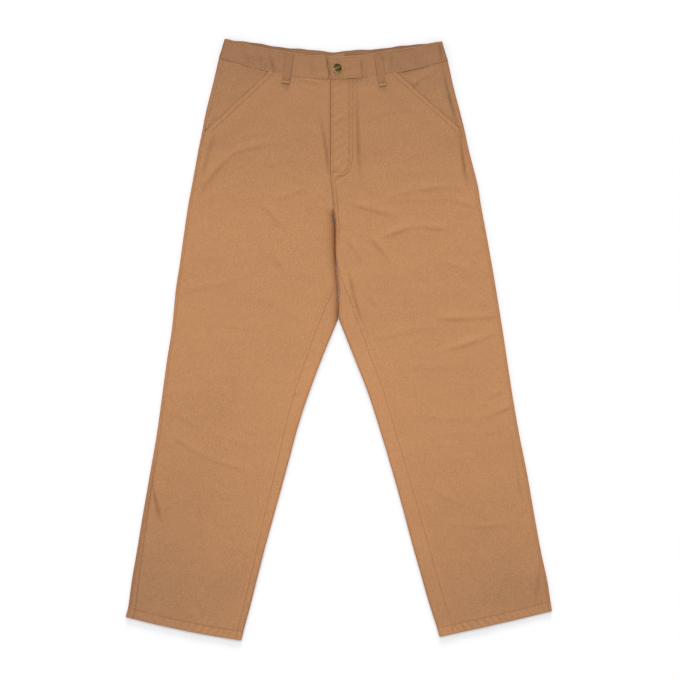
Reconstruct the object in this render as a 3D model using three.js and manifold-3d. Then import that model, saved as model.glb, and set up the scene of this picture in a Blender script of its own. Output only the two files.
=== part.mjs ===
// Carpenter pants in cotton duck, lying flat on their back.
//
// The wearer's right leg is on the -X side. +Y runs up to the waistband and +Z out of the surface that
// the pants lie on. Each leg is a flattened ring of cloth: the front panel is its upper wall, and the back
// panel its lower wall, which turns up round both edges as far as the side seam and the inseam.

import * as THREE from 'three';
import { mergeVertices } from 'three/addons/utils/BufferGeometryUtils.js';
import Module from 'manifold-3d';

// Driving sizes, in millimetres. Walls first: a panel, the waistband folded double, and a belt loop.
const CLOTH = 1.2;
const BAND_WALL = 2.2;
const LOOP_WALL = 1.1;

// Space between pieces at a seam, between the four layers in the fold of the crotch, and between the front
// and the back of a leg.
const GAP = 0.3;
const FOLD_GAP = 0.8;
const LAYER_GAP = 2;

// Seams: how far a felled seam, a pocket edge and a hem stand up, and how wide the felled bands are.
const SEAM_RAISE = 0.8;
const INSEAM_BAND = 13;
const POCKET_BAND = 10;

// Overlaps: the front lies over the facing at a pocket and over the other front at the fly. It is lifted
// flat over the lower piece and a margin past it, then comes down over the fade.
const OVERLAP_LIFT = CLOTH + 0.5;
const POCKET_UNDERLAP = 15;
const FLY_UNDERLAP = 20;
const OVERLAP_MARGIN = 6;
const OVERLAP_FADE = 32;

// Waist: the back rests on its belt loops and rises above the front, and the waistband's right end lies
// under its left end. Level is the middle of the band's back, and spread the way from there to its front.
const WAIST_LIFT = 1.5;
const BACK_RISE = 9.5;
const BAND_UNDERLAP = 30;
const BAND_OVERLAP = 4;
const BAND_LEVEL = 2.6;
const BAND_SPREAD = 3.3;

// Button and belt loops.
const BUTTON_DIAMETER = 16.5;
const BUTTON_THICKNESS = 3.6;
const SHANK_DIAMETER = 2.8;
const BUTTONHOLE_DIAMETER = 3.8;
const BUTTON_PLACE = { x: -3.6, y: 506 };
const LOOP_WIDTH = 14;
const TACK_RAISE = 0.6;
const FRONT_LOOPS = [
  { name: 'belt_loop_front_r', top: { x: -92, y: 533 }, end: { x: -100, y: 478 } },
  { name: 'belt_loop_front_l', top: { x: 73, y: 532 }, end: { x: 82, y: 473 } },
];
const BACK_LOOPS = [
  { name: 'belt_loop_back_r', top: { x: -140, y: 545 }, end: { x: -146, y: 492 } },
  { name: 'belt_loop_back_c', top: { x: -9, y: 536 }, end: { x: -9, y: 483 } },
  { name: 'belt_loop_back_l', top: { x: 122, y: 542 }, end: { x: 128, y: 490 } },
];

// Sizes worked out from them: the turn at a leg's edges, and the heights of the front at the waist.
const RING_RADIUS = (CLOTH + LAYER_GAP) / 2;
const PANEL_TOP = WAIST_LIFT + 2 * RING_RADIUS + CLOTH;
const BAND_TOP = BAND_LEVEL + BAND_SPREAD + BAND_WALL / 2;
const BAND_LIFT = BAND_WALL + 0.5;

// Steps across the straight stretch of the back, shared by the back panels and the waistband.
const BACK_STEPS = 6;

// Stations down each leg, from the waist seam to the edge of the hem. A station is a line across the leg:
// outer and inner are its ends, closed is 0 where the two halves are one at the hips and 1 where the leg is
// a ring of its own, sideSeam is how far the side seam lies in from the outer edge, inseam how far it lies
// along the cloth from the top of the inner edge (less than 0 is down in the fold between the legs), and
// bow is how far the middle of the station sags below the straight line.
const STATION_COLUMNS = ['outerX', 'outerY', 'innerX', 'innerY', 'closed', 'sideSeam', 'inseam', 'bow'];
const RIGHT_LEG = [
  [-224, 527, -15.3, 486, 0, 9, -2.5, 8.5],
  [-235.5, 478, -15.3, 437, 0, 8.5, -2.5, 7],
  [-248.5, 426, -15.3, 385, 0, 6.5, -2.5, 5],
  [-255.5, 390, -15.3, 347, 0, 5, -2.5, 4],
  [-263, 353, -15.3, 304, 0, 4.5, -2.5, 3],
  [-274.5, 290, -10.3, 243, 0, 4.5, -2.5, 2],
  [-281.5, 253, -7.3, 208, 1, 5, -2.5, 0],
  [-290, 196, -7.3, 157, 1, 5, -2.5, 0],
  [-298, 138, -3.3, 97, 1, 5, 7, 0],
  [-305, 93, -1.3, 40, 1, 5, 30, 0],
  [-312, 22, -29, -27, 1, 5, 31, 0],
  [-322, -42, -55, -96, 1, 5, 29, 0],
  [-331, -109, -77, -163, 1, 5, 24, 0],
  [-341, -180, -96, -234, 1, 6, 19, 0],
  [-354, -255, -116, -307, 1, 7, 15, 0],
  [-367, -330, -135, -376, 1, 8.5, 13, 1],
  [-378, -397, -151, -438, 1, 10, 13, 2],
  [-387, -449, -165, -494, 1, 12, 12, 3],
  [-393.5, -497, -178, -542, 1, 13, 9, 4],
  [-398.8, -518, -183, -562, 1, 13, 8, 3],
];
const LEFT_LEG = [
  [203, 522, -14.7, 486, 0, 9.5, -2.5, 8.5],
  [213, 476, -14.7, 437, 0, 9.5, -2.5, 7],
  [226, 426, -14.7, 385, 0, 9.5, -2.5, 5],
  [235, 390, -14.7, 347, 0, 8, -2.5, 4],
  [243, 353, -14.7, 304, 0, 6, -2.5, 3],
  [259, 290, -9.7, 243, 0, 5, -2.5, 2],
  [265, 253, -6.7, 208, 1, 5, -2.5, 0],
  [276, 194, -6.7, 157, 1, 5, -2.5, 0],
  [286, 138, -2.7, 97, 1, 5, 10, 0],
  [294, 91, -0.7, 40, 1, 5, 31, 0],
  [305, 22, 25, -25, 1, 5, 32, 0],
  [315, -44, 53, -96, 1, 5, 31, 0],
  [325, -109, 75, -163, 1, 5, 29, 0],
  [337, -178, 97, -236, 1, 5, 27, 0],
  [352, -253, 117, -307, 1, 5, 25, 0],
  [365, -328, 136, -378, 1, 5, 25, 1],
  [378, -399, 153, -438, 1, 5, 25, 1],
  [389, -449, 169, -494, 1, 5, 25, 2],
  [395, -488, 183, -537, 1, 5, 23, 2],
  [398, -507, 188, -555, 1, 5, 21, 1],
];

// Rows of those tables at which the slanted pockets and the fly's overlap end, and how far below its row
// the turned-up hem steps out.
const POCKET_END_ROW = 3;
const FLY_END_ROW = 4;
const HEM_STEP = 0.06;

// The two ends of each pocket's slant.
const RIGHT_POCKET = { top: [-131, 500], bottom: [-245, 394] };
const LEFT_POCKET = { top: [106, 500], bottom: [226, 394] };

// The largest folds of the front: the two ends of each, its half width, and its height above the cloth,
// which is less than 0 for a trough.
const FOLD_COLUMNS = ['startX', 'startY', 'endX', 'endY', 'halfWidth', 'height'];
const FOLDS = [
  [-32, 412, -17, 304, 14, 0.8],
  [38, 452, 43, 304, 16, 0.9],
  [-200, 340, -247, 276, 14, 0.9],
  [-133, 255, -92, 125, 20, -0.8],
  [-298, 87, -191, 102, 16, 0.8],
  [95, 192, 189, 210, 16, 0.8],
  [71, 182, 101, 143, 14, -0.7],
  [2, 255, 108, 229, 22, 0.7],
  [202, 46, 295, 46, 14, -0.9],
  [77, -6, 194, 31, 18, 0.7],
  [165, -29, 301, 18, 16, 0.9],
  [170, -150, 320, -118, 18, 0.8],
  [-316, -174, -161, -243, 18, 0.9],
  [-344, -262, -329, -331, 14, -0.8],
  [176, -281, 239, -313, 16, -0.7],
  [338, -243, 370, -393, 14, -0.7],
];
const FOLD_LIMIT = 1;

// The waistband's height and lean at the sides and at the centre.
const BAND_SIDE = { height: 36.2, lean: 17 };
const BAND_CENTRE = { height: 43.3, lean: 0 };

const mix = THREE.MathUtils.lerp;
const { clamp, smoothstep } = THREE.MathUtils;

/** Names the columns of a table's row. */
function named(columns, row) {
  return Object.fromEntries(columns.map((name, index) => [name, row[index]]));
}

const folds = FOLDS.map((row) => named(FOLD_COLUMNS, row));

/** Distance of a place from the stretch between two points. */
function distanceTo([startX, startY], [endX, endY], x, y) {
  const alongX = endX - startX;
  const alongY = endY - startY;
  const share = ((x - startX) * alongX + (y - startY) * alongY) / (alongX ** 2 + alongY ** 2);
  const nearest = clamp(share, 0, 1);
  return Math.hypot(x - startX - alongX * nearest, y - startY - alongY * nearest);
}

/** Height that the folds add to the front at a place. */
function foldHeight(x, y) {
  let height = 0;
  for (const fold of folds) {
    const away = distanceTo([fold.startX, fold.startY], [fold.endX, fold.endY], x, y);
    height += fold.height * Math.exp(-((away / fold.halfWidth) ** 2));
  }
  return clamp(height, -FOLD_LIMIT, FOLD_LIMIT);
}

/** A leg's station at a row number, which may lie between two rows of its table. */
function stationAt(table, row) {
  const below = Math.min(Math.floor(row), table.length - 2);
  const share = row - below;
  const values = table[below].map((value, index) => mix(value, table[below + 1][index], share));
  const station = named(STATION_COLUMNS, values);
  const width = Math.hypot(station.outerX - station.innerX, station.outerY - station.innerY);
  return {
    ...station,
    row,
    radius: RING_RADIUS,
    wall: CLOTH,
    flat: width - 2 * RING_RADIUS - CLOTH,
    directionX: (station.outerX - station.innerX) / width,
    directionY: (station.outerY - station.innerY) / width,
    level: CLOTH / 2 + WAIST_LIFT * (1 - smoothstep(row, 0, 2)),
    rise: BACK_RISE * (1 - smoothstep(row, 0, POCKET_END_ROW)),
  };
}

/** Place on a station, from its distance outwards from the inner edge's turn and its height in the ring. */
function ringPlace(station, across, height) {
  const share = clamp(across / station.flat, 0, 1);
  const reach = station.radius + station.wall / 2 + across;
  const sag = station.bow * 4 * share * (1 - share);
  const backShare = 1 - height / (2 * station.radius);
  const rise = station.rise * (1 - share ** 2) * backShare;
  const x = station.innerX + station.directionX * reach;
  const y = station.innerY + station.directionY * reach - sag + rise;
  return new THREE.Vector3(x, y, station.level + height);
}

/** Middle of the front wall. way runs outwards from the top of the inner edge. */
function frontPlace(station, way) {
  const { radius, closed } = station;
  if (way >= 0) {
    return ringPlace(station, way, 2 * radius);
  }
  const angle = -way / radius;
  const across = mix(way, -radius * Math.sin(angle), Math.min(1, 2 * closed));
  return ringPlace(station, across, 2 * radius - closed * radius * (1 - Math.cos(angle)));
}

/** Middle of the back wall. way runs outwards from the foot of the inner edge and on round the outer one. */
function backPlace(station, way) {
  const { radius, closed, flat } = station;
  const turn = Math.PI * radius;
  if (way < -turn) {
    return ringPlace(station, -way - turn, 2 * radius);
  }
  if (way < 0) {
    const angle = -way / radius;
    const across = mix(way, -radius * Math.sin(angle), Math.min(1, 2 * closed));
    return ringPlace(station, across, closed * radius * (1 - Math.cos(angle)));
  }
  if (way <= flat) {
    return ringPlace(station, way, 0);
  }
  if (way <= flat + turn) {
    const angle = (way - flat) / radius;
    return ringPlace(station, flat + radius * Math.sin(angle), radius * (1 - Math.cos(angle)));
  }
  return ringPlace(station, 2 * flat + turn - way, 2 * radius);
}

/** Where the front wall ends at its inner border and the back wall begins. */
function innerBorders(station) {
  const { radius, wall, closed, inseam } = station;
  const turn = Math.PI * radius;
  const half = inseam > 0 ? GAP / 2 : FOLD_GAP / 2;
  return {
    front: mix(-radius - wall / 2, inseam + half, closed),
    back: -mix(radius + wall / 2, turn + inseam - half, closed),
  };
}

/** Way along the front at which the side seam lies. */
function sideSeamWay(station) {
  return station.flat - station.sideSeam + station.radius + station.wall / 2;
}

/** Way along the front at which a pocket's slant crosses the station. */
function pocketWay(station, pocket) {
  const [topX, topY] = pocket.top;
  const [bottomX, bottomY] = pocket.bottom;
  const sideOf = (way) => {
    const place = frontPlace(station, way);
    return (place.x - topX) * (bottomY - topY) - (place.y - topY) * (bottomX - topX);
  };
  let near = 0;
  let far = sideSeamWay(station);
  if (sideOf(near) * sideOf(far) > 0) {
    return far;
  }
  for (let step = 0; step < 30; step += 1) {
    const middle = (near + far) / 2;
    if (sideOf(near) * sideOf(middle) > 0) {
      near = middle;
    } else {
      far = middle;
    }
  }
  return near;
}

/** Height that the front gains over the pocket's facing. */
function pocketLift(pocket, x, y, row) {
  const away = distanceTo(pocket.top, pocket.bottom, x, y);
  const flatOver = POCKET_UNDERLAP + OVERLAP_MARGIN;
  const over = 1 - smoothstep(away, flatOver, flatOver + OVERLAP_FADE);
  return OVERLAP_LIFT * over * (1 - smoothstep(row, POCKET_END_ROW, POCKET_END_ROW + 1));
}

/** Height that the left front gains over the right front at the fly. */
function flyLift(inwards, row) {
  const flatOver = FLY_UNDERLAP + OVERLAP_MARGIN;
  const over = 1 - smoothstep(inwards, flatOver, flatOver + OVERLAP_FADE);
  return OVERLAP_LIFT * over * (1 - smoothstep(row, FLY_END_ROW, FLY_END_ROW + 1));
}

/** Row numbers of the sections: every row and every half row, with the two sides of the hem's step. */
function sectionRows(table) {
  const last = table.length - 1;
  const hem = last - 1;
  const rows = [];
  for (let row = 0; row <= hem; row += 0.5) {
    rows.push(row);
  }
  return [...rows, hem + HEM_STEP, last - 0.5, last];
}

/** True on the rows of the turned-up hem. */
function onHem(table, row) {
  return row > table.length - 2;
}

/** Closed mesh from triangles that share numbered points, with its faces pointing out. */
function closedMesh(points, triangles) {
  const geometry = new THREE.BufferGeometry();
  const numbers = points.flatMap((point) => point.toArray());
  geometry.setAttribute('position', new THREE.Float32BufferAttribute(numbers, 3));
  geometry.setIndex(triangles.flat());
  let volume = 0;
  for (const [a, b, c] of triangles) {
    volume += points[a].dot(new THREE.Vector3().crossVectors(points[b], points[c]));
  }
  if (volume < 0) {
    geometry.setIndex(triangles.map(([a, b, c]) => [a, c, b]).flat());
  }
  return geometry;
}

/**
 * Wall of cloth round a grid of middle points. Each point may carry raise, which moves only its outside,
 * and outside is 1 or -1 for the side on which that lies.
 */
function clothWall(grid, thickness, outside) {
  const rows = grid.length;
  const columns = grid[0].length;
  const points = [];
  const pointAt = (i, j) => grid[clamp(i, 0, rows - 1)][clamp(j, 0, columns - 1)].place;
  const across = new THREE.Vector3();
  const down = new THREE.Vector3();
  for (const face of [1, -1]) {
    for (let i = 0; i < rows; i += 1) {
      for (let j = 0; j < columns; j += 1) {
        down.subVectors(pointAt(i + 1, j), pointAt(i - 1, j));
        across.subVectors(pointAt(i, j + 1), pointAt(i, j - 1));
        const normal = new THREE.Vector3().crossVectors(down, across).normalize().multiplyScalar(outside);
        const depth = face * thickness / 2 + (face > 0 ? grid[i][j].raise ?? 0 : 0);
        const point = grid[i][j].place.clone().addScaledVector(normal, depth);
        point.z = Math.max(point.z, 0);
        points.push(point);
      }
    }
  }
  const outer = (i, j) => i * columns + j;
  const inner = (i, j) => rows * columns + outer(i, j);
  const triangles = [];
  const quad = (a, b, c, d) => triangles.push([a, b, c], [a, c, d]);
  for (let i = 0; i < rows - 1; i += 1) {
    for (let j = 0; j < columns - 1; j += 1) {
      quad(outer(i, j), outer(i + 1, j), outer(i + 1, j + 1), outer(i, j + 1));
      quad(inner(i, j), inner(i, j + 1), inner(i + 1, j + 1), inner(i + 1, j));
    }
    quad(outer(i + 1, 0), outer(i, 0), inner(i, 0), inner(i + 1, 0));
    quad(outer(i, columns - 1), outer(i + 1, columns - 1), inner(i + 1, columns - 1), inner(i, columns - 1));
  }
  for (let j = 0; j < columns - 1; j += 1) {
    quad(outer(0, j), outer(0, j + 1), inner(0, j + 1), inner(0, j));
    quad(outer(rows - 1, j + 1), outer(rows - 1, j), inner(rows - 1, j), inner(rows - 1, j + 1));
  }
  return closedMesh(points, triangles);
}

/** Distances between two borders: close ones beside each border, and the rest evenly spaced. */
function spread(start, end, besideStart, besideEnd, evenCount) {
  const first = besideStart.map((distance) => start + distance);
  const last = besideEnd.map((distance) => end - distance).reverse();
  const from = first[first.length - 1];
  const step = (last[0] - from) / (evenCount + 1);
  const even = Array.from({ length: evenCount }, (_, index) => from + step * (index + 1));
  return [...first, ...even, ...last];
}

/** Fades the folds out towards a border. */
function edgeFade(distance) {
  return smoothstep(distance, -2, 10);
}

/** Front panel of one leg. */
function frontPanel(leg) {
  const { table, side, pocket, overFly } = leg;
  const grid = sectionRows(table).map((row) => {
    const station = stationAt(table, row);
    const hidden = overFly ? 0 : FLY_UNDERLAP * (1 - smoothstep(row, POCKET_END_ROW, FLY_END_ROW));
    const start = innerBorders(station).front - hidden;
    const end = pocketWay(station, pocket) - GAP / 2;
    const besideStart = [0, 1, 3.2, INSEAM_BAND, INSEAM_BAND + 0.8];
    const bandShare = station.closed === 1 ? clamp(station.inseam / 8, 0, 1) : 0;
    const besideEnd = [0, POCKET_BAND, POCKET_BAND + 0.8];
    return spread(start, end, besideStart, besideEnd, 6).map((way, index, ways) => {
      const place = frontPlace(station, way);
      const overlap = overFly ? flyLift(way - start, row) : 0;
      const lift = Math.max(overlap, pocketLift(pocket, place.x, place.y, row));
      const folded = foldHeight(place.x, place.y) * edgeFade(way) * edgeFade(end - way);
      place.z += lift + folded * (1 - lift / OVERLAP_LIFT);
      const inBand = index < 4 ? bandShare : 0;
      const atPocket = index > ways.length - 3 && row < POCKET_END_ROW ? 1 : 0;
      const atHem = onHem(table, row) ? 1 : 0;
      return { place, raise: SEAM_RAISE * Math.max(inBand, atPocket, atHem) };
    });
  });
  return clothWall(grid, CLOTH, side);
}

/** Back panel of one leg, with its turns round the inner and the outer edge. */
function backPanel(leg) {
  const { table, side } = leg;
  const turnShares = [0.25, 0.5, 0.75];
  const backShares = Array.from({ length: BACK_STEPS }, (_, index) => (index + 1) / BACK_STEPS);
  const grid = sectionRows(table).map((row) => {
    const station = stationAt(table, row);
    const { flat, radius } = station;
    const turn = Math.PI * radius;
    const start = innerBorders(station).back;
    const end = flat + turn + (flat - sideSeamWay(station)) - GAP / 2;
    const innerTurn = -start > turn ? turn : -start;
    const ways = [
      start,
      mix(start, -innerTurn, 0.5),
      ...[1, 0.75, 0.5, 0.25, 0].map((share) => -innerTurn * share),
      ...backShares.map((share) => flat * share),
      ...turnShares.map((share) => flat + turn * share),
      flat + turn,
      end,
    ];
    if (-start <= turn) {
      ways[1] = mix(start, 0, 0.08);
      ways[2] = mix(start, 0, 0.16);
    }
    return ways.map((way) => {
      const place = backPlace(station, way);
      const turned = place.z - station.level > radius;
      place.z += turned ? foldHeight(place.x, place.y) * edgeFade(-way - turn) : 0;
      return { place, raise: onHem(table, row) && turned ? SEAM_RAISE : 0 };
    });
  });
  return clothWall(grid, CLOTH, -side);
}

/** Facing that shows in a slanted pocket and runs on under the front panel. */
function pocketFacing(leg) {
  const { table, side, pocket } = leg;
  const columns = 5;
  const rows = [0, 0.5, 1, 1.5, 2, 2.5, POCKET_END_ROW - 0.1];
  const grid = rows.map((row) => {
    const station = stationAt(table, row);
    const start = pocketWay(station, pocket) - POCKET_UNDERLAP;
    const end = sideSeamWay(station) - GAP / 2;
    return Array.from({ length: columns }, (_, index) => (
      { place: frontPlace(station, mix(start, end, index / (columns - 1))) }
    ));
  });
  return clothWall(grid, CLOTH, side);
}

/** A leg's first station, with the heights of the waistband instead of the panels'. */
function bandStation(table) {
  const station = stationAt(table, 0);
  const radius = BAND_SPREAD / 2;
  const width = Math.hypot(station.outerX - station.innerX, station.outerY - station.innerY);
  return { ...station, radius, wall: BAND_WALL, flat: width - 2 * radius - BAND_WALL, level: BAND_LEVEL };
}

/** Column of the waistband: its lower end, its upper end, and points between. */
function bandColumn(station, side, lower, lift) {
  const width = Math.abs(station.outerX - station.innerX);
  const share = clamp(Math.abs(lower.x - station.innerX) / width, 0, 1);
  const lean = THREE.MathUtils.degToRad(mix(BAND_CENTRE.lean, BAND_SIDE.lean, share ** 2));
  const height = mix(BAND_CENTRE.height, BAND_SIDE.height, share ** 4);
  const pastCentre = (lower.x - station.innerX) * side < 0;
  const lowerY = pastCentre ? 2 * station.innerY - lower.y : lower.y;
  return [0, 0.12, 0.5, 0.88, 1].map((part) => {
    const up = GAP + height * part;
    const place = lower.clone();
    place.x -= side * Math.sin(lean) * up;
    place.y = lowerY + Math.cos(lean) * up;
    place.z += lift;
    return { place };
  });
}

/** Waistband: one strip that runs from the right end of the fly round the back to the left end. */
function waistband(wasm) {
  const grid = [];
  const frontCount = 12;
  const addLeg = (leg, reversed) => {
    const station = bandStation(leg.table);
    const { flat, radius } = station;
    const turn = Math.PI * radius;
    const extra = leg.overFly ? BAND_OVERLAP : BAND_UNDERLAP;
    const columns = [];
    for (let index = 0; index < frontCount; index += 1) {
      const way = mix(-extra, flat, index / frontCount);
      const flatOver = BAND_UNDERLAP + OVERLAP_MARGIN;
      const lift = leg.overFly ? BAND_LIFT * (1 - smoothstep(way, flatOver, flatOver + OVERLAP_FADE)) : 0;
      columns.push(bandColumn(station, leg.side, frontPlace(station, way), lift));
    }
    const backWays = [1, 0.75, 0.5, 0.25, 0].map((share) => flat + turn * share);
    for (let index = 1; index <= BACK_STEPS; index += 1) {
      backWays.push(mix(flat, 0, index / BACK_STEPS));
    }
    for (const way of backWays) {
      columns.push(bandColumn(station, leg.side, backPlace(station, way), 0));
    }
    grid.push(...(reversed ? columns.reverse() : columns));
  };
  addLeg(RIGHT, false);
  addLeg(LEFT, true);
  const strip = clothWall(grid, BAND_WALL, -1);
  const depth = 2 * BAND_WALL;
  const hole = new THREE.CylinderGeometry(BUTTONHOLE_DIAMETER / 2, BUTTONHOLE_DIAMETER / 2, depth, 16);
  hole.rotateX(Math.PI / 2);
  hole.translate(BUTTON_PLACE.x, BUTTON_PLACE.y, BAND_TOP + GAP / 2 + depth / 2);
  return subtract(wasm, strip, hole);
}

/** Strip of a belt loop through three heights: at its top, past the waistband's lower edge, at its end. */
function beltLoop(top, end, heights) {
  const direction = new THREE.Vector2(end.x - top.x, end.y - top.y);
  const length = direction.length();
  direction.normalize();
  const rows = [
    { share: 0, height: heights.band },
    { share: 0.3, height: heights.band },
    { share: 0.6, height: heights.panel },
    { share: 0.86, height: heights.panel },
    { share: 0.88, height: heights.panel, raise: heights.tack },
    { share: 1, height: heights.panel, raise: heights.tack },
  ];
  const grid = rows.map(({ share, height, raise }) => [-1, 0, 1].map((sideways) => {
    const x = top.x + direction.x * length * share - direction.y * sideways * LOOP_WIDTH / 2;
    const y = top.y + direction.y * length * share + direction.x * sideways * LOOP_WIDTH / 2;
    return { place: new THREE.Vector3(x, y, height), raise };
  }));
  return clothWall(grid, LOOP_WALL, 1);
}

/** Cuts one closed geometry out of another. */
function subtract(wasm, body, tool) {
  const solidOf = (geometry) => {
    const bare = geometry.clone();
    bare.deleteAttribute('normal');
    bare.deleteAttribute('uv');
    const merged = mergeVertices(bare);
    const vertProperties = new Float32Array(merged.attributes.position.array);
    const triVerts = new Uint32Array(merged.index.array);
    return new wasm.Manifold(new wasm.Mesh({ numProp: 3, vertProperties, triVerts }));
  };
  const cut = solidOf(body).subtract(solidOf(tool)).getMesh();
  const geometry = new THREE.BufferGeometry();
  geometry.setAttribute('position', new THREE.BufferAttribute(new Float32Array(cut.vertProperties), 3));
  geometry.setIndex(new THREE.BufferAttribute(new Uint32Array(cut.triVerts), 1));
  return geometry;
}

/** Shank button: a domed head with a rim, on a thin shank. */
function buttonGeometry() {
  const radius = BUTTON_DIAMETER / 2;
  const shank = SHANK_DIAMETER / 2;
  const foot = BAND_TOP + GAP;
  const head = BAND_TOP + BAND_LIFT + GAP;
  const profile = [
    [0, foot],
    [shank, foot],
    [shank, head],
    [radius * 0.9, head],
    [radius, head + 0.8],
    [radius, head + 1.8],
    [radius * 0.93, head + 2.5],
    [radius * 0.84, head + 2.4],
    [radius * 0.78, head + 2.2],
    [radius * 0.6, head + 2.9],
    [radius * 0.3, head + BUTTON_THICKNESS - 0.15],
    [0, head + BUTTON_THICKNESS],
  ];
  const geometry = new THREE.LatheGeometry(profile.map(([r, z]) => new THREE.Vector2(r, z)), 28);
  geometry.rotateX(Math.PI / 2);
  geometry.translate(BUTTON_PLACE.x, BUTTON_PLACE.y, 0);
  return geometry;
}

const RIGHT = { table: RIGHT_LEG, side: -1, pocket: RIGHT_POCKET, overFly: false };
const LEFT = { table: LEFT_LEG, side: 1, pocket: LEFT_POCKET, overFly: true };

const wasm = await Module();
wasm.setup();

const DUCK = { color: '#be895d', roughness: 0.92, metalness: 0 };
const BAND_DUCK = { color: '#a67959', roughness: 0.92, metalness: 0 };
const BRASS = { color: '#8a6a3a', roughness: 0.42, metalness: 1 };

const group = new THREE.Group();

/** Adds a named mesh to the pants. */
function add(name, geometry, finish) {
  const mesh = new THREE.Mesh(geometry, new THREE.MeshStandardMaterial(finish));
  mesh.name = name;
  group.add(mesh);
}

for (const [suffix, leg] of [['r', RIGHT], ['l', LEFT]]) {
  add(`front_panel_${suffix}`, frontPanel(leg), DUCK);
  add(`back_panel_${suffix}`, backPanel(leg), DUCK);
  add(`pocket_facing_${suffix}`, pocketFacing(leg), DUCK);
}
add('waistband', waistband(wasm), BAND_DUCK);

const seat = GAP + LOOP_WALL / 2;
for (const { name, top, end } of FRONT_LOOPS) {
  const heights = { band: BAND_TOP + seat, panel: PANEL_TOP + OVERLAP_LIFT + seat, tack: TACK_RAISE };
  add(name, beltLoop(top, end, heights), BAND_DUCK);
}
for (const { name, top, end } of BACK_LOOPS) {
  const heights = { band: LOOP_WALL / 2, panel: LOOP_WALL / 2, tack: 0 };
  add(name, beltLoop(top, end, heights), BAND_DUCK);
}
add('button', buttonGeometry(), BRASS);

export default group;
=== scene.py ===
"""Carpenter pants in cotton duck, laid flat on their back on a pale surface.

Every piece of cloth is a thin shell on the form of its solid in the frame: a leg is a flattened ring of
cloth, and its sections are the frame's own. Tables are in millimetres, in the frame's axes: +Y runs up to
the waistband, +X towards the wearer's left, and +Z out of the surface.
"""

import logging
import math
from collections.abc import Callable, Iterable
from dataclasses import dataclass, field

import bpy
import numpy as np
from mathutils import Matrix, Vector


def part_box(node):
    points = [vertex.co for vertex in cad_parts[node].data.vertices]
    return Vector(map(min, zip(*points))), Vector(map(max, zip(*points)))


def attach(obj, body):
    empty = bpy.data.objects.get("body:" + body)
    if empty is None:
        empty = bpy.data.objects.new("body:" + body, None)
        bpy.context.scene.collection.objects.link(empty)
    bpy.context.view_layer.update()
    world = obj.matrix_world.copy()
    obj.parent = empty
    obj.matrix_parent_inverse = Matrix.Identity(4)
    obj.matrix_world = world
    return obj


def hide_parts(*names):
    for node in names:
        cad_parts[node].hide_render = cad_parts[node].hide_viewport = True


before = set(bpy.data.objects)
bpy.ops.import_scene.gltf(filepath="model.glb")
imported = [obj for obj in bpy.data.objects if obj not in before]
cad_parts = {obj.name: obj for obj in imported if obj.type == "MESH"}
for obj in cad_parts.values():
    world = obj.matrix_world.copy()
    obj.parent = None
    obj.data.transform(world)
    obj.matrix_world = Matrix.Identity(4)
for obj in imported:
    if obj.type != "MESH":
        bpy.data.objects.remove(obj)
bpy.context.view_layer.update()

log = logging.getLogger("carpenter_pants")

# Short names of the types. A place is one in plan, in millimetres.
Array = np.ndarray
Piece = bpy.types.Object
Finish = bpy.types.Material
Tree = bpy.types.NodeTree
Socket = bpy.types.NodeSocket
Place = tuple[float, float]
Line = tuple[Place, Place]
Table = tuple[tuple[float, ...], ...]

MM = 0.001
BUMP_DEPTH = 0.4 * MM
BODY = "root"
SEED = 7

# Walls of the cloth, the space between the front and the back of a leg, the radius of its turned edges to
# the middle of the cloth, and the gaps under a belt loop and in a seam.
CLOTH = 1.2
BAND_WALL = 2.2
LOOP_WALL = 1.1
LAYER_GAP = 2.0
TURN = (CLOTH + LAYER_GAP) / 2
LOOP_GAP = 0.3
SEAM_GAP = 0.04

# How far the deeper colour of painted shade on a turned edge reaches from its middle, on a leg and on the
# waistband; a leg's edge is painted paler over it as well.
TURN_REACH = 4.2
BAND_TURN_REACH = 4.5

# Overlaps of the front, which is lifted flat over the lower piece and then comes down over the fade.
OVERLAP_LIFT = CLOTH + 0.5
POCKET_UNDERLAP = 15.0
FLY_UNDERLAP = 20.0
OVERLAP_MARGIN = 6.0
OVERLAP_FADE = 32.0

# Seams: how far a felled band stands up, its width, and where its rows of stitches lie from its edge.
SEAM_RAISE = 0.75
EDGE_ROUND = 0.55
HEM_ROUND = 0.8
INSEAM_BAND = 13.0
INSEAM_ROWS = (2.0, 6.6, 11.2)
POCKET_BAND = 10.0
POCKET_ROWS = (2.0, 8.6)
FLY_ROWS = (33.6, 39.9)
FLY_FOOT = (3.2, 4.25)
FLY_CURVES = ((15, 19, 313), (21.5, 36, 305.5))
RISE_ROWS = (1.8, 7.5)
# Heights on the body between which the second row of the rise runs.
CROTCH_Y = 225
FLY_FOOT_Y = 300
HEM_DEPTH = 19.5
HEM_ROW = 18.0
GROOVE_DEPTH = 0.3
GROOVE_WIDTH = 0.55

# Waist: the back is lifted by its belt loops and rises above the front.
WAIST_LIFT = 1.5
BACK_RISE = 9.5
BAND_LEVEL = 2.6
BAND_SPREAD = 3.3
BAND_LIFT = BAND_WALL + 0.5
BAND_UNDERLAP = 30.0
BAND_OVERLAP = 4.0
# How far the painted shadow on the right end, under the left end, reaches along it, and where its stitches
# come out from under the left end.
RIGHT_END_REACH = 60
RIGHT_END_SEEN = -19
BAND_TOP = BAND_LEVEL + BAND_SPREAD + BAND_WALL / 2
PANEL_TOP = WAIST_LIFT + 2 * TURN + CLOTH
BAND_ROW = 2.6
BAND_TOP_ROW = 1.7
POCKET_END_ROW = 3.0
FLY_END_ROW = 4.0
INSEAM_TOP_ROW = 8.05

# Distance between the sections of a panel's mesh, and where they lie close together, and their distances
# from the hem's edge.
PITCH = 3.1
CLOSE_PITCH = 0.9
BAND_PITCH = 2.8
HEM_STEPS = (24, 22.5, 21.5, 20.6, 20.1, 19.6, 19.1, 18.6, 18, 17.4, 16.8, 15.5, 13, 10, 7, 4.5, 2.6, 1.4,
             0.8, 0.4, 0.15, 0)

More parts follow.
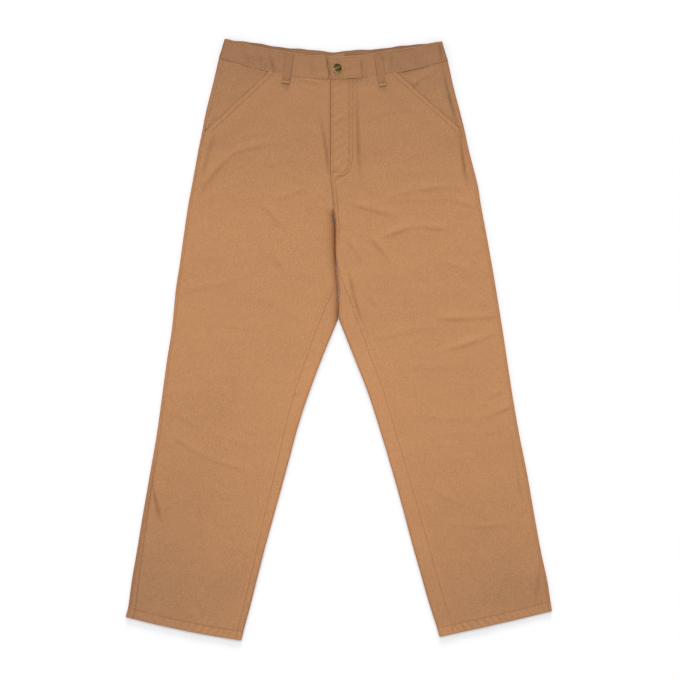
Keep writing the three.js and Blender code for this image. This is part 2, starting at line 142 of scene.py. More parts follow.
# Stations down each leg from the waist seam to the hem, as in the frame: the ends of a line across the
# leg, whether the leg is a ring of its own there, how far in the side seam lies, how far along the cloth
# from the top of the inner edge the inseam lies, and how far the middle of the line sags. The inseam
# follows the photograph a few millimetres closer than the frame does.
STATION_COLUMNS = ("outer_x", "outer_y", "inner_x", "inner_y", "closed", "side_seam", "inseam", "bow")
RIGHT_STATIONS = (
    (-224, 527, -15.3, 486, 0, 9, -2.5, 8.5),
    (-235.5, 478, -15.3, 437, 0, 8.5, -2.5, 7),
    (-248.5, 426, -15.3, 385, 0, 6.5, -2.5, 5),
    (-255.5, 390, -15.3, 347, 0, 5, -2.5, 4),
    (-263, 353, -15.3, 304, 0, 4.5, -2.5, 3),
    (-274.5, 290, -10.3, 243, 0, 4.5, -2.5, 2),
    (-281.5, 253, -7.3, 208, 1, 5, -2.5, 0),
    (-290, 196, -7.3, 157, 1, 5, -2.5, 0),
    (-298, 138, -3.3, 97, 1, 5, 7, 0),
    (-305, 93, -1.3, 40, 1, 5, 27, 0),
    (-312, 22, -29, -27, 1, 5, 26, 0),
    (-322, -42, -55, -96, 1, 5, 23.2, 0),
    (-331, -109, -77, -163, 1, 5, 20, 0),
    (-341, -180, -96, -234, 1, 6, 17.5, 0),
    (-354, -255, -116, -307, 1, 7, 15, 0),
    (-367, -330, -135, -376, 1, 8.5, 12, 1),
    (-378, -397, -151, -438, 1, 10, 10.5, 2),
    (-387, -449, -165, -494, 1, 12, 10, 3),
    (-393.5, -497, -178, -542, 1, 13, 9, 4),
    (-398.8, -518, -183, -562, 1, 13, 8, 3),
)
LEFT_STATIONS = (
    (203, 522, -14.7, 486, 0, 9.5, -2.5, 8.5),
    (213, 476, -14.7, 437, 0, 9.5, -2.5, 7),
    (226, 426, -14.7, 385, 0, 9.5, -2.5, 5),
    (235, 390, -14.7, 347, 0, 8, -2.5, 4),
    (243, 353, -14.7, 304, 0, 6, -2.5, 3),
    (259, 290, -9.7, 243, 0, 5, -2.5, 2),
    (265, 253, -6.7, 208, 1, 5, -2.5, 0),
    (276, 194, -6.7, 157, 1, 5, -2.5, 0),
    (286, 138, -2.7, 97, 1, 5, 10, 0),
    (294, 91, -0.7, 40, 1, 5, 28, 0),
    (305, 22, 25, -25, 1, 5, 27.3, 0),
    (315, -44, 53, -96, 1, 5, 26.4, 0),
    (325, -109, 75, -163, 1, 5, 24.4, 0),
    (337, -178, 97, -236, 1, 5, 24.4, 0),
    (352, -253, 117, -307, 1, 5, 25, 0),
    (365, -328, 136, -378, 1, 5, 26.2, 1),
    (378, -399, 153, -438, 1, 5, 26.4, 1),
    (389, -449, 169, -494, 1, 5, 27, 2),
    (395, -488, 183, -537, 1, 5, 25.5, 2),
    (398, -507, 188, -555, 1, 5, 23.5, 1),
)
APEX_ROW = 9
# How far the fold between the legs bends out to the wearer's left above the crotch, and at which row.
FOLD_BEND = 1.9
FOLD_BEND_ROW = 8
# How much closer the two legs lie in the fold than in the frame, so that their cloth touches.
FOLD_CLOSE = 0.28

# The two ends of each pocket's slant.
RIGHT_POCKET = ((-131, 500), (-245, 394))
LEFT_POCKET = ((106, 500), (226, 394))

# Creases of the front: the two ends of each, how far its middle bows to the left of the way from start
# to end, its half width and its height. A height under 0 is a trough.
CREASE_COLUMNS = ("x0", "y0", "x1", "y1", "bow", "width", "height")
CREASES = (
    (-266, 261, -189, 353, 8, 4.5, 1.45),
    (-221, 338, -99, 370, 5, 4, 0.87),
    (-211, 362, -142, 387, 2, 3.5, 0.57),
    (-269, 239, -174, 299, 6, 5, 0.52),
    (-232, 391, -257, 306, -2, 6, 1.4),
    (-118, 261, -62, 282, 1, 4, 1.16),
    (-153, 263, -101, 203, 1, 5, 0.87),
    (-294, 89, -187, 108, 2, 5, 0.94),
    (-159, 82, -60, 29, 3, 7, 0.63),
    (-127, 170, -94, 115, -1, 4.5, 1.01),
    (-288, 200, -230, 207, 1, 4, 0.46),
    (-34, 424, -18, 298, 2, 4, 2.5),
    (-84, 486, -22, 476, 1, 2.6, 1.16),
    (-79, 474, -47, 463, 1, 2.6, 0.57),
    (-185, 308, -73, 336, 4, 6, 0.4),
    (-267, 145, -200, 158, 2, 6, 0.34),
    (-234, 33, -144, 18, -2, 7, 0.34),
    (-204, -23, -193, -113, 2, 7, 0.32),
    (35, 486, 41, 292, -1, 5, 2.0),
    (4, 257, 112, 229, 2, 5, 1.3),
    (21, 248, 193, 263, 3, 4, 0.52),
    (185, 265, 262, 244, 4, 4.5, 0.87),
    (90, 265, 206, 287, 3, 4, 1.01),
    (200, 287, 252, 267, 2, 4, 0.52),
    (80, 190, 138, 211, 2, 4.2, 1.59),
    (129, 211, 206, 205, 2, 4, 1.01),
    (56, 196, 97, 142, 1, 4, 1.74),
    (20, 128, 43, 37, -1, 5, 2.2),
    (187, 147, 254, 125, 1, 4, 0.57),
    (13, 190, 47, 142, 1, 4.5, 0.87),
    (50, 89, 90, 37, 1, 5, 0.57),
    (43, -6, 200, 27, 3, 5, 0.63),
    (183, 39, 299, 44, -1, 4, 1.59),
    (187, -23, 303, 16, -2, 4.5, 1.3),
    (43, 413, 165, 433, 3, 5, 0.4),
    (58, 353, 159, 340, 3, 6, 0.4),
    (73, 452, 174, 446, 1, 4, 0.29),
    (224, 394, 240, 288, 1, 5, 2.5),
    (105, 308, 208, 314, 3, 6, 0.34),
    (137, -143, 267, -148, -1, 5.5, 0.52),
    (260, -148, 329, -120, -2, 4, 1.16),
    (275, -111, 322, -83, -1, 3.6, 0.63),
    (159, -184, 249, -173, 2, 6, 0.34),
    (241, -191, 305, -169, 2, 5, 0.4),
    (168, -277, 239, -311, -2, 4, 0.57),
    (258, -350, 316, -343, -1, 3.4, 0.94),
    (185, -337, 264, -350, -1, 6, 0.34),
    (322, -165, 342, -311, 2, 5, 0.64),
    (376, -419, 366, -496, 1, 5, 1.2),
    (189, -404, 264, -427, 3, 7, 0.34),
    (114, -47, 245, -60, 3, 8, 0.34),
    (-314, -178, -247, -219, -2, 4, 1.09),
    (-254, -216, -165, -246, -2, 4, 0.94),
    (-329, -122, -247, -171, -2, 5, 0.52),
    (-251, -169, -155, -199, -3, 5, 0.4),
    (-348, -255, -329, -343, -2, 5, 2.34),
    (-381, -449, -352, -491, -1, 4, 0.57),
    (-368, -418, -352, -464, 1, 5, 0.53),
    (-252, -470, -191, -429, 2, 5, 0.52),
    (-262, -296, -249, -423, 2, 7, 0.37),
    (-94, -105, -62, -96, 1, 3, 0.57),
    (-297, -341, -232, -360, 3, 8, 0.34),
)

# Where the hidden underside takes its creases and their painted shade from, beside each of its points.
HIDDEN_SHIFT = (37, -21, 0)

# Creases of the pocket facings, in the same columns.
FACING_CREASES = (
    (192, 528, 228, 392, -3.3, 5, 3.4),
    (137, 471, 155, 489, 1, 1.8, 1.6),
    (153, 488, 172, 495, 1, 2.2, 0.8),
    (114, 486, 133, 456, 1, 4, 0.4),
    (-232, 516, -254, 422, 2, 4.6, 1.2),
    (-189, 493, -211, 452, 1, 5, 0.4),
)

# Creases of the front of the waistband.
BAND_CREASES = (
    (43, 530, 44, 490, 0, 3, 2.2),
    (-52, 528, -48, 494, 1, 7, 0.8),
    (-128, 534, -119, 498, 1, 5, 2.2),
    (-146, 536, -143, 508, 1, 4, 1.4),
    (188, 556, 193, 522, 0, 4, 2.4),
    (-178, 545, -168, 512, 3, 9, 0.7),
    (100, 537, 96, 500, 1, 5, 1.3),
    (140, 540, 150, 510, 2, 9, 0.7),
)

# Lightness of the cloth from the waist down: height on the body, and the share of the plain colour. Partly
# the cloth's own tone and partly painted light, falling off to the waist and the hem.
TONE_STEPS = (
    (560, 0.785), (525, 0.805), (500, 0.845), (467, 0.89), (355, 0.915), (290, 0.97), (224, 1.02), (60, 1.02),
    (-60, 1.03), (-113, 1.02), (-200, 1.0), (-300, 0.955), (-400, 0.90), (-449, 0.845), (-560, 0.82),
)


def smoothstep(value: Array, low: float, high: float) -> Array:
    """Smooth 0 to 1 between low and high."""
    share = np.clip((value - low) / (high - low), 0, 1)
    return share * share * (3 - 2 * share)


def fading(value: Array, low: float, high: float) -> Array:
    """Smooth 1 to 0 between low and high."""
    return 1 - smoothstep(value, low, high)


def bell(distance: Array, width: float) -> Array:
    """Bell curve of height 1 with the given half width."""
    return np.exp(-((distance / width) ** 2))


def lines_at(distance: Array, lines: Iterable[tuple[float, float, float]]) -> Array:
    """Sum of soft lines, each a bell curve given by its place, its half width and its depth."""
    return sum(depth * bell(distance - place, width) for place, width, depth in lines)


@dataclass(frozen=True)
class Window:
    """Stretch over which something comes in, from start to full, and goes out, from fade to end."""

    start: float
    full: float
    fade: float
    end: float

    def at(self, value: Array) -> Array:
        """Share that shows at a value, from 0 to 1."""
        return smoothstep(value, self.start, self.full) * fading(value, self.fade, self.end)


@dataclass(frozen=True)
class Puckers:
    """Puckers beside a seam.

    Attributes:
        length: Distance from one pucker to the next.
        height: Height of a pucker.
        reach: How far the puckers reach from the stitches.
    """

    length: float
    height: float
    reach: float

    def at(self, along: Array, away: Array) -> Array:
        """Height of the puckers at a distance along the seam and a distance away from its stitches."""
        uneven = 0.6 + 0.4 * np.sin(along / 31.0 + 0.8) * np.sin(along / 12.7)
        slant = along + 0.5 * away + 1.3 * np.sin(along / 17.0)
        return self.height * uneven * np.sin(2 * math.pi * slant / self.length) * bell(away, self.reach)


INSEAM_PUCKERS = Puckers(7.5, 0.2, 8)
POCKET_PUCKERS = Puckers(6.5, 0.3, 5)
WAIST_PUCKERS = Puckers(8.6, 0.45, 8)
SIDE_PUCKERS = Puckers(8, 0.16, 6)
FLY_PUCKERS = Puckers(7, 0.25, 6)
FLY_COCKLE = Puckers(17, 1.0, 15)
HEM_ROPING = Puckers(9.5, 0.3, 11)
BACK_SEAM_PUCKERS = Puckers(7.5, 0.15, 6)
FACING_SIDE_PUCKERS = Puckers(8, 0.15, 6)
FACING_WAIST_PUCKERS = Puckers(8.6, 0.4, 8)
BAND_FOOT_PUCKERS = Puckers(8.6, 0.5, 9)
BAND_TOP_PUCKERS = Puckers(11, 0.25, 6)
LOOP_PUCKERS = Puckers(5, 0.1, 3)

# Share of a crease's length over which it rises and dies away.
CREASE_LENGTH = Window(-0.12, 0.35, 0.65, 1.12)
# Row numbers between which the legs lie closed, flatter and dark with painted shade in the fold, and the rise
# is stitched.
FOLD_CLOSED = Window(5.2, 6, 8.6, 9)
FOLD_PINCHED = Window(5.6, 6.6, 8.6, 9.6)
FOLD_DARK = Window(4.85, 5.25, 8.95, 9.25)
RISE_STITCHED = Window(4.2, 4.5, 6.2, 6.8)
# Row numbers over which the fly's relief, its painted shade and the painted shade beside it end.
FLY_RELIEF_END = (4.0, 4.4)
FLY_SHADE_END = (4.2, 4.4)
BESIDE_FLY_END = (3.6, 4.2)
# Row numbers over which the lower legs' inner edges turn paler, the painted light on the back's turned inner
# edge begins, and the painted shade along the right leg's side seam and outer edge begins.
PALE_INNER_START = (9.1, 10)
LIT_TURN_START = (8.9, 10)
DARK_SIDE_START = (13, 14.5)

# Heights on the body at which the fly cockles most: place, half width and how much more.
FLY_SWELLS = ((292, 24, 0.65), (400, 30, 0.5))
# Lines of painted shade beside the seams: place, half width and depth. A depth under 0 is paler, as painted
# light.
FLY_BORDER = (0, 1.1, 0.04)
INSEAM_BORDER = (0, 1.1, 0.025)
INSEAM_LINES = ((3.2, 1.3, -0.02), (6.6, 1.0, 0.02), (11.2, 1.0, 0.02))
POCKET_LINES = ((2.0, 1.0, 0.15), (8.6, 1.0, 0.15), (5.2, 2.0, -0.03))
FLY_LINES = ((3.0, 0.8, 0.09), (1.2, 0.9, -0.08))
BAND_FOOT_LINES = ((BAND_ROW, 1.0, 0.03), (0, 1.0, -0.05))
BAND_TOP_LINES = ((2.0, 1.0, 0.03),)
RISE_LINES = tuple((row, 1.0, 0.2) for row in RISE_ROWS)


def tent(distance: Array, reach: float) -> Array:
    """Tent of height 1 with straight sides of this reach."""
    return np.clip(1 - np.abs(distance) / reach, 0, 1)


def rounded(distance: Array, radius: float) -> Array:
    """How far an edge of this radius falls away at a distance inside it."""
    inside = np.clip(1 - distance / radius, 0, 1)
    return radius * (1 - np.sqrt(1 - inside**2))


def through(table: Iterable[float], rows: Array, kink: int | None = None) -> Array:
    """Smooth curve through a table's column.

    Args:
        table: The column's values, one for each row.
        rows: Row numbers at which the curve is read.
        kink: A row at which the curve has a corner.

    Returns:
        The curve's values, in the shape of rows.
    """
    values = np.array(list(table), float)
    slopes = np.gradient(values)
    after = slopes.copy()
    if kink is not None:
        slopes[kink] = values[kink] - values[kink - 1]
        after[kink] = values[kink + 1] - values[kink]
    below = np.clip(np.floor(rows).astype(int), 0, len(values) - 2)
    t = rows - below
    start, end = values[below], values[below + 1]
    out, back = after[below], slopes[below + 1]
    return (start * (2 * t**3 - 3 * t**2 + 1) + out * (t**3 - 2 * t**2 + t)
            + end * (3 * t**2 - 2 * t**3) + back * (t**3 - t**2))


@dataclass
class Sections:
    """Sections across a leg, each a row of the arrays, with the heights of one layer of cloth.

    Attributes:
        rows: Row number of each section. The columns above it are those of the stations.
        turn: Radius of the turned edges, to the middle of the cloth.
        wall: Thickness of the cloth.
        level: Height of the middle of the lower wall.
        pinch: How much flatter the leg is at its inner edge, as a share of its height.
    """

    outer_x: Array
    outer_y: Array
    inner_x: Array
    inner_y: Array
    closed: Array
    side_seam: Array
    inseam: Array
    bow: Array
    rows: Array
    turn: float = TURN
    wall: float = CLOTH
    level: Array | float = 0.0
    pinch: Array | float = 0.0

    @property
    def width(self) -> Array:
        """Length of each section's line."""
        return np.hypot(self.outer_x - self.inner_x, self.outer_y - self.inner_y)

    @property
    def flat(self) -> Array:
        """Straight stretch between the turns at the two edges."""
        return self.width - 2 * self.turn - self.wall

    @property
    def half_turn(self) -> float:
        """Length of cloth that goes round one edge."""
        return math.pi * self.turn

    def place(self, across: Array, height: Array) -> Array:
        """Points of the ring.

        Args:
            across: Distance outwards from the top of the inner edge.
            height: Height above the middle of the lower wall.

        Returns:
            Points, with x, y and z in the last axis.
        """
        share = np.clip(across / self.flat, 0, 1)
        reach = self.turn + self.wall / 2 + across
        sag = self.bow * 4 * share * (1 - share)
        rise = BACK_RISE * fading(self.rows, 0, POCKET_END_ROW)
        rise = rise * (1 - share**2) * (1 - height / (2 * self.turn))
        height = height * (1 - self.pinch * bell(np.maximum(across, 0), 10))
        x = self.inner_x + (self.outer_x - self.inner_x) / self.width * reach
        y = self.inner_y + (self.outer_y - self.inner_y) / self.width * reach - sag + rise
        return np.stack(np.broadcast_arrays(x, y, self.level + height), axis=-1)

    def front(self, way: Array) -> Array:
        """Middle of the front wall, from the way outwards along the cloth from the top of the inner edge."""
        angle = np.clip(-way / self.turn, 0, None)
        pulled = np.minimum(1, 2 * self.closed)
        round_edge = way * (1 - pulled) - self.turn * np.sin(np.minimum(angle, math.pi / 2)) * pulled
        across = np.where(way >= 0, way, round_edge)
        drop = self.closed * self.turn * (1 - np.cos(np.minimum(angle, math.pi)))
        return self.place(across, 2 * self.turn - drop)

    def back(self, way: Array) -> Array:
        """Middle of the back wall, from the way outwards from the foot of the inner edge."""
        turn, flat, half = self.turn, self.flat, self.half_turn
        pulled = np.minimum(1, 2 * self.closed)
        inner = np.clip(-way / turn, 0, math.pi)
        outer = np.clip((way - flat) / turn, 0, math.pi)
        edge = np.where(way < 0, way * (1 - pulled) - turn * np.sin(inner) * pulled, way)
        across = np.where(way < -half, -way - half, edge)
        across = np.where(way > flat, flat + turn * np.sin(outer), across)
        across = np.where(way > flat + half, 2 * flat + half - way, across)
        height = self.closed * turn * (1 - np.cos(inner)) * (way < 0)
        height = np.where(way > flat, turn * (1 - np.cos(outer)), height)
        return self.place(across, height)

    def side_seam_way(self) -> Array:
        """Way along the front at which the side seam lies."""
        return self.flat - self.side_seam + self.turn + self.wall / 2

    def inner_border(self) -> tuple[Array, Array]:
        """Ways at which the front ends and the back begins at the inner border."""
        reach = self.turn + self.wall / 2
        front = -reach * (1 - self.closed) + (self.inseam + SEAM_GAP) * self.closed
        back = reach * (1 - self.closed) + (self.half_turn + self.inseam - SEAM_GAP) * self.closed
        return front, -back


@dataclass(frozen=True)
class Leg:
    """One leg: its sections and what is cut into it.

    Attributes:
        suffix: End of the names of its nodes.
        side: -1 for the wearer's right, which is at -X, and 1 for the left.
        stations: Table of its sections.
        pocket: The two ends of the pocket's slant.
        over_fly: Whether this front lies over the other at the fly.
        pinch: How much flatter the leg is beside the fold below the fly, as a share of its height.
    """

    suffix: str
    side: int
    stations: Table
    pocket: Line
    over_fly: bool
    pinch: float

    @property
    def last_row(self) -> float:
        """Number of the hem's row."""
        return float(len(self.stations) - 1)

    def sections(self, rows: Array) -> Sections:
        """The leg's sections at these row numbers."""
        columns = dict(zip(STATION_COLUMNS, zip(*self.stations)))
        rows = rows[:, None]
        kinked = {"inner_x": APEX_ROW, "inner_y": APEX_ROW}
        values = {name: through(column, rows, kinked.get(name)) for name, column in columns.items()}
        values["closed"] = np.interp(rows, range(len(self.stations)), columns["closed"])
        bend = FOLD_BEND * bell(rows - FOLD_BEND_ROW, 1.1) * fading(rows, 8.4, 9)
        values["inner_x"] += bend - self.side * FOLD_CLOSE * FOLD_CLOSED.at(rows)
        level = CLOTH / 2 + WAIST_LIFT * fading(rows, 0, 2)
        return Sections(**values, rows=rows, level=level, pinch=self.pinch * FOLD_PINCHED.at(rows))

    def length_at(self, rows: Array) -> Array:
        """Length down the middle of the leg at these row numbers."""
        fine = np.linspace(0, self.last_row, 2000)
        cut = self.sections(fine)
        middle_x, middle_y = (cut.outer_x + cut.inner_x)[:, 0] / 2, (cut.outer_y + cut.inner_y)[:, 0] / 2
        steps = np.hypot(np.diff(middle_x), np.diff(middle_y))
        return np.interp(rows, fine, np.concatenate([[0], np.cumsum(steps)]))

    def rows_for(self, lengths: Array) -> Array:
        """Row numbers at these lengths down the leg."""
        fine = np.linspace(0, self.last_row, 2000)
        return np.interp(lengths, self.length_at(fine), fine)

    def panel_rows(self, close: Place | None = None) -> Array:
        """Row numbers of a panel's sections, close together at its waist edge and at the hem.

        Args:
            close: The ends of one more stretch, as row numbers, along which they are close together.

        Returns:
            The row numbers, from the waist down.
        """
        whole = float(self.length_at(np.array([self.last_row]))[0])
        near_top = np.array([0, 0.3, 0.8, 1.5])
        hem = whole - np.array(HEM_STEPS)
        between = np.arange(near_top[-1] + PITCH, hem[0] - 1, PITCH)
        if close:
            low, high = self.length_at(np.array(close))
            between = between[(between < low) | (between > high)]
            between = np.concatenate([between, np.arange(low, high, CLOSE_PITCH)])
            between.sort()
        return self.rows_for(np.concatenate([near_top, between, hem]))

    def pocket_way(self, cut: Sections) -> Array:
        """Way along the front at which the pocket's slant, or else the side seam, crosses each section."""
        (top_x, top_y), (end_x, end_y) = self.pocket

        def side_of(way: Array) -> Array:
            point = cut.front(way)
            return (point[..., 0] - top_x) * (end_y - top_y) - (point[..., 1] - top_y) * (end_x - top_x)

        near, far = np.zeros_like(cut.inner_x), cut.side_seam_way()
        crossed = side_of(near) * side_of(far) < 0
        low, high = near.copy(), far.copy()
        for _ in range(30):
            middle = (low + high) / 2
            same = side_of(near) * side_of(middle) > 0
            low, high = np.where(same, middle, low), np.where(same, high, middle)
        return np.where(crossed, low, far)

    def pocket_distance(self, points: Array) -> Array:
        """Distance of points from the pocket's slant."""
        return away_from(*self.pocket, points)


def away_from(start: Place, end: Place, points: Array) -> Array:
    """Distance, in plan, from the stretch between two places.

    Args:
        start: One end of the stretch.
        end: Its other end.
        points: Points on the garment.

    Returns:
        Distance of each point.
    """
    x, y = points[..., 0], points[..., 1]
    along_x, along_y = end[0] - start[0], end[1] - start[1]
    share = ((x - start[0]) * along_x + (y - start[1]) * along_y) / (along_x**2 + along_y**2)
    share = np.clip(share, 0, 1)
    return np.hypot(x - start[0] - along_x * share, y - start[1] - along_y * share)


@dataclass(frozen=True)
class Relief:
    """Creases and soft waves of the cloth.

    Attributes:
        creases: Table of creases.
        waves: Wave length and height of each family of soft waves.
        limit: Highest and lowest relief.
        depth: How much painted shade darkens the steep side of a crease 1 mm high.
    """

    creases: Table = CREASES
    waves: tuple[Place, ...] = ((150, 0.35), (70, 0.2), (32, 0.07), (16, 0.02))
    limit: float = 2.3
    depth: float = 0.05

    def crease(self, row: tuple[float, ...], x: Array, y: Array) -> tuple[Array, Array]:
        """One crease, steep on the side that faces down the leg and gentle on the other.

        Args:
            row: Row of the table.
            x: Places across the garment.
            y: Places up the garment.

        Returns:
            Its height, and how much painted shade darkens it.
        """
        values = dict(zip(CREASE_COLUMNS, row))
        along_x, along_y = values["x1"] - values["x0"], values["y1"] - values["y0"]
        length = math.hypot(along_x, along_y)
        along_x, along_y = along_x / length, along_y / length
        share = ((x - values["x0"]) * along_x + (y - values["y0"]) * along_y) / length
        across = (y - values["y0"]) * along_x - (x - values["x0"]) * along_y
        across = across - values["bow"] * 4 * share * (1 - share)
        downhill = -1 if along_x > 0.25 or (abs(along_x) <= 0.25 and along_y < 0) else 1
        across = across * downhill
        ends = CREASE_LENGTH.at(share)
        ends = ends * (1 + 0.3 * np.sin(share * 7 + values["x0"]))
        steep, gentle = values["width"] * 0.75, values["width"] * 2.0
        side = np.where((across > 0) == (values["height"] > 0), steep, gentle)
        height = values["height"] * ends * np.exp(-((across / side) ** 2))
        lee = 0.45 * steep * math.copysign(1, values["height"])
        upright = 0.2 + 1.6 * along_y**4
        dark = self.depth * upright * abs(values["height"]) * ends * bell(across - lee, values["width"] * 0.6)
        return height, dark

    def fields(self, points: Array) -> tuple[Array, Array]:
        """Height of the whole relief, and the painted shade of its creases, at points on the cloth."""
        x, y = points[..., 0], points[..., 1]
        total, dark = self.soft_waves(x, y), 0.0
        for row in self.creases:
            height, shade = self.crease(row, x, y)
            total, dark = total + height, dark + shade
        return np.clip(total, -self.limit, self.limit), dark + np.zeros_like(total)

    def soft_waves(self, x: Array, y: Array) -> Array:
        """Sum of waves that run in many directions, the same on every run."""
        draw = np.random.default_rng(SEED)
        total = np.zeros(np.broadcast(x, y).shape)
        for length, height in self.waves:
            for _ in range(5):
                angle, phase = draw.uniform(0, math.pi), draw.uniform(0, 2 * math.pi)
                spread = length * draw.uniform(0.75, 1.35)
                run = x * math.cos(angle) + y * math.sin(angle)
                total = total + height / 2 * np.sin(2 * math.pi * run / spread + phase)
        return total


def groove(distance: Array, rows: Iterable[float]) -> Array:
    """Depth of the grooves that rows of stitches pull into the cloth."""
    return sum(GROOVE_DEPTH * bell(distance - row, GROOVE_WIDTH) for row in rows)


def beyond(line: Line, x: Array, y: Array) -> Array:
    """Distance outwards, away from the centre of the body, from a line that runs down and outwards."""
    (start_x, start_y), (end_x, end_y) = line
    along_x, along_y = end_x - start_x, end_y - start_y
    side = math.copysign(1, start_x)
    return side * ((y - start_y) * along_x - (x - start_x) * along_y) / math.hypot(along_x, along_y)


def tone_at(points: Array) -> Array:
    """Lightness of the cloth: partly its own tone and partly painted light, paler in the middle and falling
    off to the waist, the hem and the right leg's outer side.

    Args:
        points: Points on the garment.

    Returns:
        Share of the plain colour at each point.
    """
    x, y = points[..., 0], points[..., 1]
    heights, tones = zip(*reversed(TONE_STEPS))
    from_inner = np.abs(x) - 0.3 * np.maximum(60 - y, 0)
    inner = 0.035 * fading(from_inner, 0, 170) * smoothstep(-y, -250, 100)
    outer = 0.045 * smoothstep(from_inner, 60, 220) * smoothstep(-y, 0, 150) * (x < 0)
    pocket = np.where(x < 0, beyond(RIGHT_POCKET, x, y), beyond(LEFT_POCKET, x, y))
    facing = 0.05 * smoothstep(pocket, -6, 6) * smoothstep(y, 350, 400)
    return np.interp(y, heights, tones) + inner - outer - facing


@dataclass
class Shell:
    """A thin closed shell of cloth round a grid of middle points.

    Attributes:
        name: Name of the object.
        middle: Middle points in millimetres, in the shape rows, columns, 3.
        outward: 1 or -1 for the side of the grid that is the outside.
        wall: Thickness.
        raised: Height of the relief on the outside.
        inner_raised: Height of the relief on the inside.
        along: Length down the cloth of each row or point, for the weave.
        across: Length across the cloth of each point, for the weave.
        tone: Lightness of each point, with its painted light and shade.
        rim: Share of the deeper colour of painted shade at each point, from 0 to 1: on turned edges and in
            creases.
    """

    name: str
    middle: Array
    outward: int
    wall: float
    raised: Array
    along: Array
    across: Array
    tone: Array
    rim: Array
    inner_raised: Array | float = 0.0

    def normals(self) -> Array:
        """Directions out of the cloth at each point of the grid."""
        down = np.gradient(self.middle, axis=0)
        over = np.gradient(self.middle, axis=1)
        normal = np.cross(down, over) * self.outward
        return normal / np.maximum(np.linalg.norm(normal, axis=-1, keepdims=True), 1e-9)

    def build(self, finish: Finish) -> Piece:
        """Makes the object and dresses it.

        Args:
            finish: Material of the cloth.

        Returns:
            The new object, with its place in its mesh.
        """
        normal = self.normals()
        shape = self.middle.shape[:2]
        raised = np.broadcast_to(self.raised, shape)[..., None]
        inner_raised = np.broadcast_to(self.inner_raised, shape)[..., None]
        outside = self.middle + normal * (self.wall / 2 + raised)
        inside = self.middle - normal * (self.wall / 2 + inner_raised)
        points = np.concatenate([outside.reshape(-1, 3), inside.reshape(-1, 3)])
        points[:, 2] = np.maximum(points[:, 2], 0)
        faces = shell_faces(*shape)
        if signed_volume(points, faces) < 0:
            faces = faces[:, ::-1]
        mesh = bpy.data.meshes.new(self.name)
        mesh.from_pydata((points * MM).tolist(), [], faces.tolist())
        mesh.update()
        piece = linked(self.name, mesh)
        self.write_attributes(mesh, shape)
        mesh.polygons.foreach_set("use_smooth", np.ones(len(mesh.polygons), bool))
        mesh.materials.append(finish)
        return piece

    def write_attributes(self, mesh: bpy.types.Mesh, shape: tuple[int, int]) -> None:
        """Writes the tone, the rim and the weave's own map onto the mesh."""
        for name, values in (("tone", self.tone), ("rim", self.rim)):
            both = np.tile(np.broadcast_to(values, shape).ravel(), 2).astype(np.float32)
            mesh.attributes.new(name, "FLOAT", "POINT").data.foreach_set("value", both)
        weave = np.stack(np.broadcast_arrays(self.across, self.along), axis=-1)
        weave = np.tile(np.broadcast_to(weave, shape + (2,)).reshape(-1, 2), (2, 1)) * MM
        corners = np.empty(len(mesh.loops), np.int64)
        mesh.loops.foreach_get("vertex_index", corners)
        mesh.uv_layers.new(name="cloth").data.foreach_set("uv", weave[corners].astype(np.float32).ravel())


def linked(name: str, data: bpy.types.ID) -> Piece:
    """New object on this data, in the scene."""
    made = bpy.data.objects.new(name, data)
    bpy.context.scene.collection.objects.link(made)
    return made


def shell_faces(rows: int, columns: int) -> Array:
    """Faces of a closed shell round a grid, its outside points first and then its inside points."""
    index = np.arange(rows * columns).reshape(rows, columns)
    inner = index + rows * columns

    def quads(a: Array, b: Array, c: Array, d: Array) -> Array:
        return np.stack([a.ravel(), b.ravel(), c.ravel(), d.ravel()], axis=1)

    return np.concatenate([
        quads(index[:-1, :-1], index[1:, :-1], index[1:, 1:], index[:-1, 1:]),
        quads(inner[:-1, :-1], inner[:-1, 1:], inner[1:, 1:], inner[1:, :-1]),
        quads(index[1:, 0], index[:-1, 0], inner[:-1, 0], inner[1:, 0]),
        quads(index[:-1, -1], index[1:, -1], inner[1:, -1], inner[:-1, -1]),
        quads(index[0, :-1], index[0, 1:], inner[0, 1:], inner[0, :-1]),
        quads(index[-1, 1:], index[-1, :-1], inner[-1, :-1], inner[-1, 1:]),
    ])


def signed_volume(points: Array, faces: Array) -> float:
    """Volume inside a closed mesh of four-sided faces, under 0 where the faces point in."""
    a, b, c, d = (points[faces[:, corner]] for corner in range(4))
    return float(np.sum(a * np.cross(b, c)) + np.sum(a * np.cross(c, d)))


def spread(start: Array, end: Array, near_start: Iterable[float], near_end: Iterable[float],
           even: int) -> Array:
    """Ways between two borders: close ones beside each border, and the rest evenly spaced.

    Args:
        start: Way of the first border at each section.
        end: Way of the last border.
        near_start: Distances of the close ones from the first border.
        near_end: Distances of the close ones from the last border.
        even: Number of evenly spaced ones.

    Returns:
        The ways, a row for each section.
    """
    first = start + np.array(list(near_start))[None, :]
    last = end - np.array(sorted(near_end, reverse=True))[None, :]
    share = (np.arange(even) + 1)[None, :] / (even + 1)
    between = first[:, -1:] + (last[:, :1] - first[:, -1:]) * share
    return np.concatenate([first, between, last], axis=1)


# Evenly spaced columns of a front panel and of a facing, and sections of a facing.
PANEL_COLUMNS = 54
FACING_COLUMNS = 52
FACING_ROWS = 48
